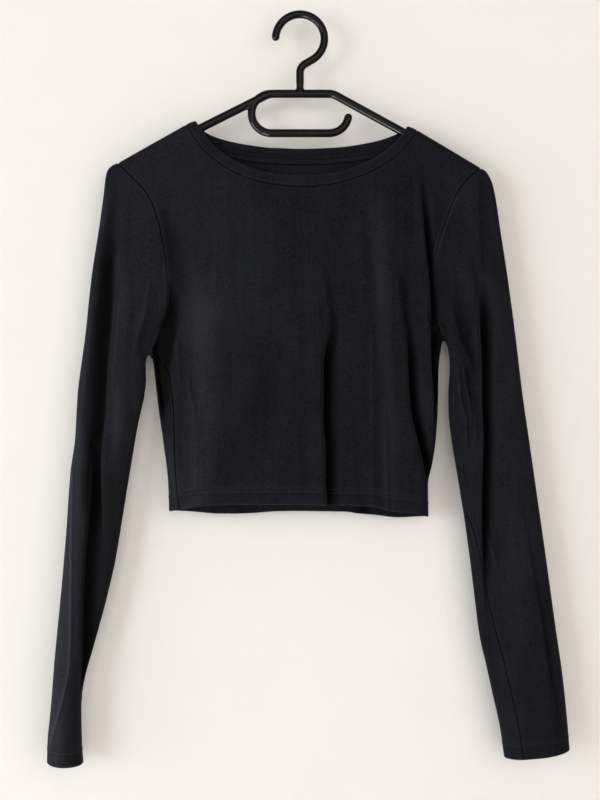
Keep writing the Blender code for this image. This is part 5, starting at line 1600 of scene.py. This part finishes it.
# %% [markdown]
# ## Finishes shared by the pieces
# Four effects serve more than one material, so each is a node group, built once. The knit gives
# the fine ribs of jersey, read from the sheet's own flat map so that they follow the cloth. The
# wash gives the black its cloudy, slightly faded look and lays on the painted light and shade of
# the marks. The needle group paints shade into the holes along a stitch row. Grain is a plain
# fine noise for plastic, paint and thread.

# %% Define the node helpers
def feed(tree, socket, value):
    """Link another node's output to a socket, or set the socket to a value."""
    if isinstance(value, bpy.types.NodeSocket):
        tree.links.new(value, socket)
    else:
        socket.default_value = value


def new_group(name, inputs, outputs):
    """An empty node group with named inputs and outputs."""
    group = bpy.data.node_groups.new(name, "ShaderNodeTree")
    for label, kind, value in inputs:
        socket = group.interface.new_socket(name=label, in_out="INPUT", socket_type=kind)
        if value is not None:
            socket.default_value = value
    for label, kind in outputs:
        group.interface.new_socket(name=label, in_out="OUTPUT", socket_type=kind)
    return group, group.nodes.new("NodeGroupInput"), group.nodes.new("NodeGroupOutput")


def add_math(tree, operation, first, second=None, third=None, clamp=False):
    """A Math node fed by sockets or numbers. Returns its output socket."""
    node = tree.nodes.new("ShaderNodeMath")
    node.operation = operation
    node.use_clamp = clamp
    for slot, value in enumerate((first, second, third)):
        if value is not None:
            feed(tree, node.inputs[slot], value)
    return node.outputs[0]


def add_tint(tree, share, first, second, clamp=True):
    """A Mix node from one colour to another. Returns its colour socket."""
    node = tree.nodes.new("ShaderNodeMix")
    node.data_type = "RGBA"
    node.clamp_factor = clamp
    feed(tree, node.inputs[0], share)
    feed(tree, node.inputs[6], first)
    feed(tree, node.inputs[7], second)
    return node.outputs[2]


def add_noise(tree, vector, scale, detail=2.0, roughness=0.5):
    """A Noise Texture node on a vector. Returns its value socket."""
    node = tree.nodes.new("ShaderNodeTexNoise")
    node.inputs["Scale"].default_value = scale
    node.inputs["Detail"].default_value = detail
    node.inputs["Roughness"].default_value = roughness
    tree.links.new(vector, node.inputs["Vector"])
    return node.outputs[0]


def add_stretch(tree, vector, scale):
    """The vector scaled along each axis."""
    node = tree.nodes.new("ShaderNodeMapping")
    node.inputs["Scale"].default_value = scale
    tree.links.new(vector, node.inputs["Vector"])
    return node.outputs[0]

# %% Build the knit
LOOP_SLANT, LOOP_RELIEF = 1.1, 0.28


def knit_group():
    """Ribs and courses of single jersey, from the flat map."""
    inputs = [("Flat Map", "NodeSocketVector", None), ("Rib", "NodeSocketFloat", 0.00072),
              ("Course", "NodeSocketFloat", 0.00058)]
    group, start, end = new_group("jersey_knit", inputs, [("Height", "NodeSocketFloat")])
    split = group.nodes.new("ShaderNodeSeparateXYZ")
    group.links.new(start.outputs["Flat Map"], split.inputs[0])
    across = add_math(group, "DIVIDE", split.outputs[0], start.outputs["Rib"])
    down = add_math(group, "DIVIDE", split.outputs[1], start.outputs["Course"])
    rib = add_math(group, "SINE", add_math(group, "MULTIPLY", across, math.pi))
    rib = add_math(group, "ABSOLUTE", rib)
    lean = add_math(group, "SUBTRACT", add_math(group, "FRACT", across), 0.5)
    lean = add_math(group, "ABSOLUTE", lean)
    turn = add_math(group, "ADD", down, add_math(group, "MULTIPLY", lean, LOOP_SLANT))
    loop = add_math(group, "SINE", add_math(group, "MULTIPLY", turn, 2 * math.pi))
    loop = add_math(group, "MULTIPLY_ADD", loop, LOOP_RELIEF, 1 - LOOP_RELIEF)
    height = add_math(group, "MULTIPLY", rib, loop)
    group.links.new(height, end.inputs["Height"])
    return group

# %% [markdown]
# The wash adds up all that makes the black paler or deeper at a place: the sheet's own marks of
# wear, painted highlights and painted light and shade, and four noises from broad clouds and long
# streaks down to specks and fuzz. The painted shade then takes away nearly all of the colour, for
# places that hardly any light gets out of.

# %% Build the wash
WEAR_AND_HIGHLIGHT_PALE, LEAST_TONE, PAINTED_SHADE_DARK = 0.6, 0.02, 0.96


def wash_group():
    """Clouds, streaks and specks of a garment-washed black, darkest where shade is painted."""
    inputs = [("Place", "NodeSocketVector", None), ("Deep", "NodeSocketColor", None),
              ("Faded", "NodeSocketColor", None), ("Fading", "NodeSocketFloat", 0.4),
              ("Wear", "NodeSocketFloat", 0.0), ("Tone", "NodeSocketFloat", 0.0),
              ("Hollow", "NodeSocketFloat", 0.0)]
    outputs = [("Colour", "NodeSocketColor"), ("Roughness", "NodeSocketFloat")]
    group, start, end = new_group("washed_black", inputs, outputs)
    place = start.outputs["Place"]
    clouds = add_noise(group, place, 26, 3, 0.55)
    streaks = add_noise(group, add_stretch(group, place, (260, 260, 12)), 1.0, 2, 0.5)
    specks = add_noise(group, place, 1350, 1, 0.5)
    fuzz = add_noise(group, place, 2600, 1, 0.5)
    total = add_math(group, "ADD", start.outputs["Tone"], start.outputs["Fading"])
    for noise, amount in ((clouds, 0.35), (streaks, 0.3), (specks, 2.6), (fuzz, 1.2)):
        around_zero = add_math(group, "SUBTRACT", noise, 0.5)
        total = add_math(group, "MULTIPLY_ADD", around_zero, amount, total)
    # Wear and painted highlights make the black paler.
    total = add_math(group, "MULTIPLY_ADD", start.outputs["Wear"], WEAR_AND_HIGHLIGHT_PALE, total)
    total = add_math(group, "MAXIMUM", total, LEAST_TONE)
    dyed = add_tint(group, total, start.outputs["Deep"], start.outputs["Faded"], clamp=False)
    # Painted shade: the colour is scaled down in fold troughs, seam grooves, armpits and needle
    # holes.
    painted_shade = start.outputs["Hollow"]
    light_left = add_math(group, "MULTIPLY_ADD", painted_shade, -PAINTED_SHADE_DARK, 1.0, clamp=True)
    shade = group.nodes.new("ShaderNodeVectorMath")
    shade.operation = "SCALE"
    group.links.new(dyed, shade.inputs[0])
    group.links.new(light_left, shade.inputs["Scale"])
    group.links.new(shade.outputs[0], end.inputs["Colour"])
    rough = add_math(group, "MULTIPLY_ADD", specks, 0.12, 0.84, clamp=True)
    group.links.new(rough, end.inputs["Roughness"])
    return group

# %% Build the needle holes and the grain
def needle_group():
    """Painted shade in the needle holes along a marked row, one for every stitch."""
    inputs = [("Row", "NodeSocketFloat", 0.0), ("Run", "NodeSocketFloat", 0.0),
              ("Hollow", "NodeSocketFloat", 0.0)]
    group, start, end = new_group("painted_needle_hole_shade", inputs, [("Hollow", "NodeSocketFloat")])
    turn = add_math(group, "MULTIPLY", start.outputs["Run"], 2 * math.pi / STITCH_PITCH)
    hole = add_math(group, "MULTIPLY_ADD", add_math(group, "COSINE", turn), 0.9, 0.5, clamp=True)
    hole = add_math(group, "MULTIPLY", hole, start.outputs["Row"])
    group.links.new(add_math(group, "MAXIMUM", hole, start.outputs["Hollow"]), end.inputs["Hollow"])
    return group


def grain_group():
    """Fine noise at two scales, for plastic, paint and thread."""
    inputs = [("Place", "NodeSocketVector", None), ("Scale", "NodeSocketFloat", 400.0)]
    outputs = [("Grain", "NodeSocketFloat"), ("Cloud", "NodeSocketFloat")]
    group, start, end = new_group("fine_grain", inputs, outputs)
    fine = group.nodes.new("ShaderNodeTexNoise")
    fine.inputs["Detail"].default_value = 3
    group.links.new(start.outputs["Place"], fine.inputs["Vector"])
    group.links.new(start.outputs["Scale"], fine.inputs["Scale"])
    group.links.new(fine.outputs[0], end.inputs["Grain"])
    group.links.new(add_noise(group, start.outputs["Place"], 22, 2), end.inputs["Cloud"])
    return group


knit, wash, needle, grain = knit_group(), wash_group(), needle_group(), grain_group()
print("node groups:", [group.name for group in (knit, wash, needle, grain)])

# %% [markdown]
# ## Black jersey
# Washed jersey is matt, with almost no mirror-like shine, but its fuzz catches light along edges.
# So its roughness is high, its specular level low, and a little sheen does the rest. The knit
# feeds a Bump node, whose distance is a real height in metres.

# %% Define the material helpers
def principled(name):
    """A new material and its tree and shader."""
    material = bpy.data.materials.new(name)
    material.use_nodes = True
    return material, material.node_tree, material.node_tree.nodes["Principled BSDF"]


def add_group(tree, group, **values):
    """A node that uses a group, with its inputs linked or set."""
    node = tree.nodes.new("ShaderNodeGroup")
    node.node_tree = group
    for label, value in values.items():
        feed(tree, node.inputs[label.replace("_", " ")], value)
    return node


def add_bump(tree, shader, height, distance, strength=1.0):
    """A Bump node into the shader's normal."""
    bump = tree.nodes.new("ShaderNodeBump")
    bump.inputs["Distance"].default_value = distance
    bump.inputs["Strength"].default_value = strength
    tree.links.new(height, bump.inputs["Height"])
    tree.links.new(bump.outputs[0], shader.inputs["Normal"])


def object_place(tree):
    """The place of the shaded point in its object, in metres."""
    return tree.nodes.new("ShaderNodeTexCoord").outputs["Object"]


def read_mark(tree, name):
    """A mark that the sheet carries at its points."""
    node = tree.nodes.new("ShaderNodeAttribute")
    node.attribute_name = name
    return node.outputs["Fac"]

# %% Make the jersey
def cloth_material(name, deep, faded, fading):
    """Washed jersey: knit bump, cloudy black with painted light and shade, a little sheen."""
    material, tree, shader = principled(name)
    flat_map = tree.nodes.new("ShaderNodeUVMap")
    flat_map.uv_map = "cloth"
    holes = add_group(tree, needle, Row=read_mark(tree, "needle"), Run=read_mark(tree, "run"),
                      Hollow=read_mark(tree, "painted_shade"))
    washed = add_group(tree, wash, Place=object_place(tree), Deep=(*deep, 1), Faded=(*faded, 1),
                       Fading=fading, Wear=read_mark(tree, "wear_and_highlight"), Tone=read_mark(tree, "tone"),
                       Hollow=holes.outputs["Hollow"])
    ribs = add_group(tree, knit, Flat_Map=flat_map.outputs[0])
    tree.links.new(washed.outputs["Colour"], shader.inputs["Base Color"])
    tree.links.new(washed.outputs["Roughness"], shader.inputs["Roughness"])
    add_bump(tree, shader, ribs.outputs["Height"], 0.00009, 0.8)
    shader.inputs["Specular IOR Level"].default_value = 0.035
    shader.inputs["Sheen Weight"].default_value = 0.05
    shader.inputs["Sheen Roughness"].default_value = 0.35
    shader.inputs["Sheen Tint"].default_value = (0.82, 0.88, 1.0, 1)
    return material


DEEP_BLACK, FADED_BLACK = (0.0014, 0.0016, 0.0024), (0.0160, 0.0171, 0.0226)
jersey = cloth_material("washed_jersey", DEEP_BLACK, FADED_BLACK, 0.45)
tape_cloth = cloth_material("tape_jersey", DEEP_BLACK, FADED_BLACK, 0.60)

# %% [markdown]
# The thread stands proud of the cloth and catches light between its needle holes, so its black is
# made paler than the cloth's, a painted highlight, with a faint gloss. The twist of the thread is
# a fine noise in its bump.

# %% Make the thread material
thread, tree, shader = principled("black_thread_painted_highlight")
twist = add_group(tree, grain, Place=object_place(tree), Scale=3200.0)
# Painted highlight: the thread is a paler black than the cloth, for the light its beads catch.
tint = add_tint(tree, twist.outputs["Grain"], (0.014, 0.015, 0.019, 1), (0.040, 0.042, 0.050, 1))
tree.links.new(tint, shader.inputs["Base Color"])
add_bump(tree, shader, twist.outputs["Grain"], 0.00006)
shader.inputs["Roughness"].default_value = 0.55
shader.inputs["Specular IOR Level"].default_value = 0.12

# %% [markdown]
# ## Black moulded plastic
# The tube has the soft gloss of a tumbled mould: clear highlights with blurred ends, a very fine
# orange peel, and duller patches where hangers rub on each other in a wardrobe.

# %% Make the plastic material
plastic, tree, shader = principled("black_plastic")
place = object_place(tree)
peel = add_group(tree, grain, Place=place, Scale=1500.0)
rubbed = add_math(tree, "MULTIPLY_ADD", peel.outputs["Cloud"], 0.12, 0.12, clamp=True)
tree.links.new(rubbed, shader.inputs["Roughness"])
tint = add_tint(tree, peel.outputs["Grain"], (0.0018, 0.0019, 0.0023, 1),
                (0.0046, 0.0048, 0.0056, 1))
tree.links.new(tint, shader.inputs["Base Color"])
add_bump(tree, shader, peel.outputs["Grain"], 0.00002)
shader.inputs["Specular IOR Level"].default_value = 0.14

# %% [markdown]
# ## Hand over the pieces
# The cloth every sheet was cut from is listed and printed beside the sheet's own area: its width
# and length before hanging, and its true area where the cut isn't a rectangle. Each piece stands
# for one node of the frame, and the stitches ride along with it.

for name in ("front", "back", "sleeve_right", "sleeve_left", "neckband"):
    sewn[name][0].data.materials.append(jersey)
sewn["neck_tape"][0].data.materials.append(tape_cloth)
hanger.data.materials.append(plastic)
for piece in stitches.values():
    piece.data.materials.append(thread)

for piece in shown:
    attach(piece, "root")
for name, (piece, _) in sewn.items():
    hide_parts(name)
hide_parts("hanger")

# %% State the cut of every sheet
Cut = namedtuple("Cut", "width length area")
CUTS = {
    "front": Cut(0.365, 0.385, 0.098),
    "back": Cut(0.365, 0.390, 0.103),
    "sleeve_right": Cut(0.235, 0.600, 0.080),
    "sleeve_left": Cut(0.235, 0.600, 0.085),
    "neckband": Cut(0.600, 0.011, None),
    "neck_tape": Cut(0.215, 0.010, None),
}


def skin_area(points):
    """Area of a grid, in square metres."""
    return float(np.linalg.norm(grid_normals(points, 1), axis=-1).sum() / 4 * MM * MM)


for name, cut in CUTS.items():
    piece, surface = sewn[name]
    print("%-14s skin %.4f m2, cut %s" % (name, skin_area(surface), cut))

# %% [markdown]
# ## Wall, floor and light
# The top hangs just in front of a pale painted wall, which also bounces light onto its sides. The
# wall is clear from behind and casts no shadow, so that a lamp behind it can light the back. Two
# large soft windows stand on the wearer's right at the garment's own height, and a broad warm one
# in front fills the shadows. Three small lamps low on the same side only show in glossy
# reflections, so they draw the thin highlights on the plastic and leave the cloth alone.

# %% Build the stage
WALL_BEHIND = 0.027
FLOOR_DROP = 1.15


def plane(name, size, place, turn):
    """A flat square on the stage."""
    bm = bmesh.new()
    bmesh.ops.create_grid(bm, x_segments=1, y_segments=1, size=size,
                          matrix=Matrix.Translation(place) @ turn)
    thing = to_object(name, bm, is_piece=False)
    return thing


def paint_material(name, colour, cloudy):
    """Matt wall paint with a faint roller texture."""
    material, tree, shader = principled(name)
    roller = add_group(tree, grain, Place=object_place(tree), Scale=260.0)
    darker = [part * (1 - cloudy) for part in colour]
    tint = add_tint(tree, roller.outputs["Cloud"], (*darker, 1), (*colour, 1))
    tree.links.new(tint, shader.inputs["Base Color"])
    add_bump(tree, shader, roller.outputs["Grain"], 0.0002, 0.5)
    shader.inputs["Roughness"].default_value = 0.9
    shader.inputs["Specular IOR Level"].default_value = 0.2
    return material, tree, shader


floor = plane("floor", 6.0, (0, 0, -FLOOR_DROP), Matrix.Identity(4))
floor_paint, _, _ = paint_material("pale_floor", (0.80, 0.78, 0.75), 0.04)
floor.data.materials.append(floor_paint)

wall = plane("wall", 4.0, (0, WALL_BEHIND, 0), Matrix.Rotation(math.radians(90), 4, "X"))
wall_paint, tree, shader = paint_material("pale_wall", (0.86, 0.852, 0.832), 0.03)
behind = tree.nodes.new("ShaderNodeNewGeometry").outputs["Backfacing"]
ray = tree.nodes.new("ShaderNodeLightPath")
clear = add_math(tree, "MAXIMUM", behind, ray.outputs["Is Shadow Ray"])
see_through = tree.nodes.new("ShaderNodeBsdfTransparent")
choose = tree.nodes.new("ShaderNodeMixShader")
tree.links.new(clear, choose.inputs[0])
tree.links.new(shader.outputs[0], choose.inputs[1])
tree.links.new(see_through.outputs[0], choose.inputs[2])
tree.links.new(choose.outputs[0], tree.nodes["Material Output"].inputs["Surface"])
wall.data.materials.append(wall_paint)

# %% Light the stage
def window(name, place, aim, width, height, power, colour):
    """A soft rectangular light that looks at a point."""
    light = bpy.data.lights.new(name, "AREA")
    light.shape = "RECTANGLE"
    light.size, light.size_y = width, height
    light.energy = power
    light.color = colour
    thing = bpy.data.objects.new(name, light)
    thing.location = place
    way = Vector(aim) - Vector(place)
    thing.rotation_euler = way.to_track_quat("-Z", "Y").to_euler()
    bpy.context.scene.collection.objects.link(thing)
    return thing


MIDDLE_OF_TOP = (0.0, 0.0, -0.38)
HANGER_BAR = (0.0, 0.0, -0.08)
window("key", (-2.9, -3.1, -0.35), MIDDLE_OF_TOP, 1.6, 2.0, 56.0, (0.89, 0.97, 1.0))
side = window("side", (-3.2, -0.9, -0.3), MIDDLE_OF_TOP, 1.8, 2.2, 34.0, (0.92, 0.98, 1.0))
side.visible_glossy = False
window("fill", (1.1, -3.7, -0.1), MIDDLE_OF_TOP, 4.6, 3.6, 98.0, (1.0, 0.935, 0.87))
for place in ((-1.25, -0.5, -0.6), (-1.0, -0.55, -0.95), (-0.37, -0.46, -1.0)):
    lamp = window("low lamp", place, HANGER_BAR, 0.36, 0.36, 12.0, (1.0, 0.98, 0.96))
    lamp.visible_diffuse = False
window("rear", (0.6, 2.2, 0.5), MIDDLE_OF_TOP, 1.6, 1.6, 18.0, (1.0, 0.99, 0.98))

# %% [markdown]
# The room's own light is warm, and stronger from the ceiling than from the floor. A gradient by
# direction, from straight down to straight up, gives the rounded edges their soft change of tone.

# %% Fill the room with light
SKY_BELOW, SKY_ABOVE = 0.13, 0.40
world = bpy.data.worlds.new("room")
world.use_nodes = True
tree = world.node_tree
direction = tree.nodes.new("ShaderNodeTexCoord").outputs["Generated"]
split = tree.nodes.new("ShaderNodeSeparateXYZ")
tree.links.new(direction, split.inputs[0])
room_light = add_math(tree, "MULTIPLY_ADD", split.outputs["Z"], (SKY_ABOVE - SKY_BELOW) / 2,
                      (SKY_ABOVE + SKY_BELOW) / 2)
tree.nodes["Background"].inputs[0].default_value = (1.0, 0.92, 0.84, 1)
tree.links.new(room_light, tree.nodes["Background"].inputs[1])
bpy.context.scene.world = world
bpy.context.scene.view_settings.view_transform = "Standard"

# %% [markdown]
# ## Finish
# The last cell prints how many triangles the finished top has.

# %% Count the triangles
print("triangles:", sum(len(p.vertices) - 2 for o in shown for p in o.data.polygons))
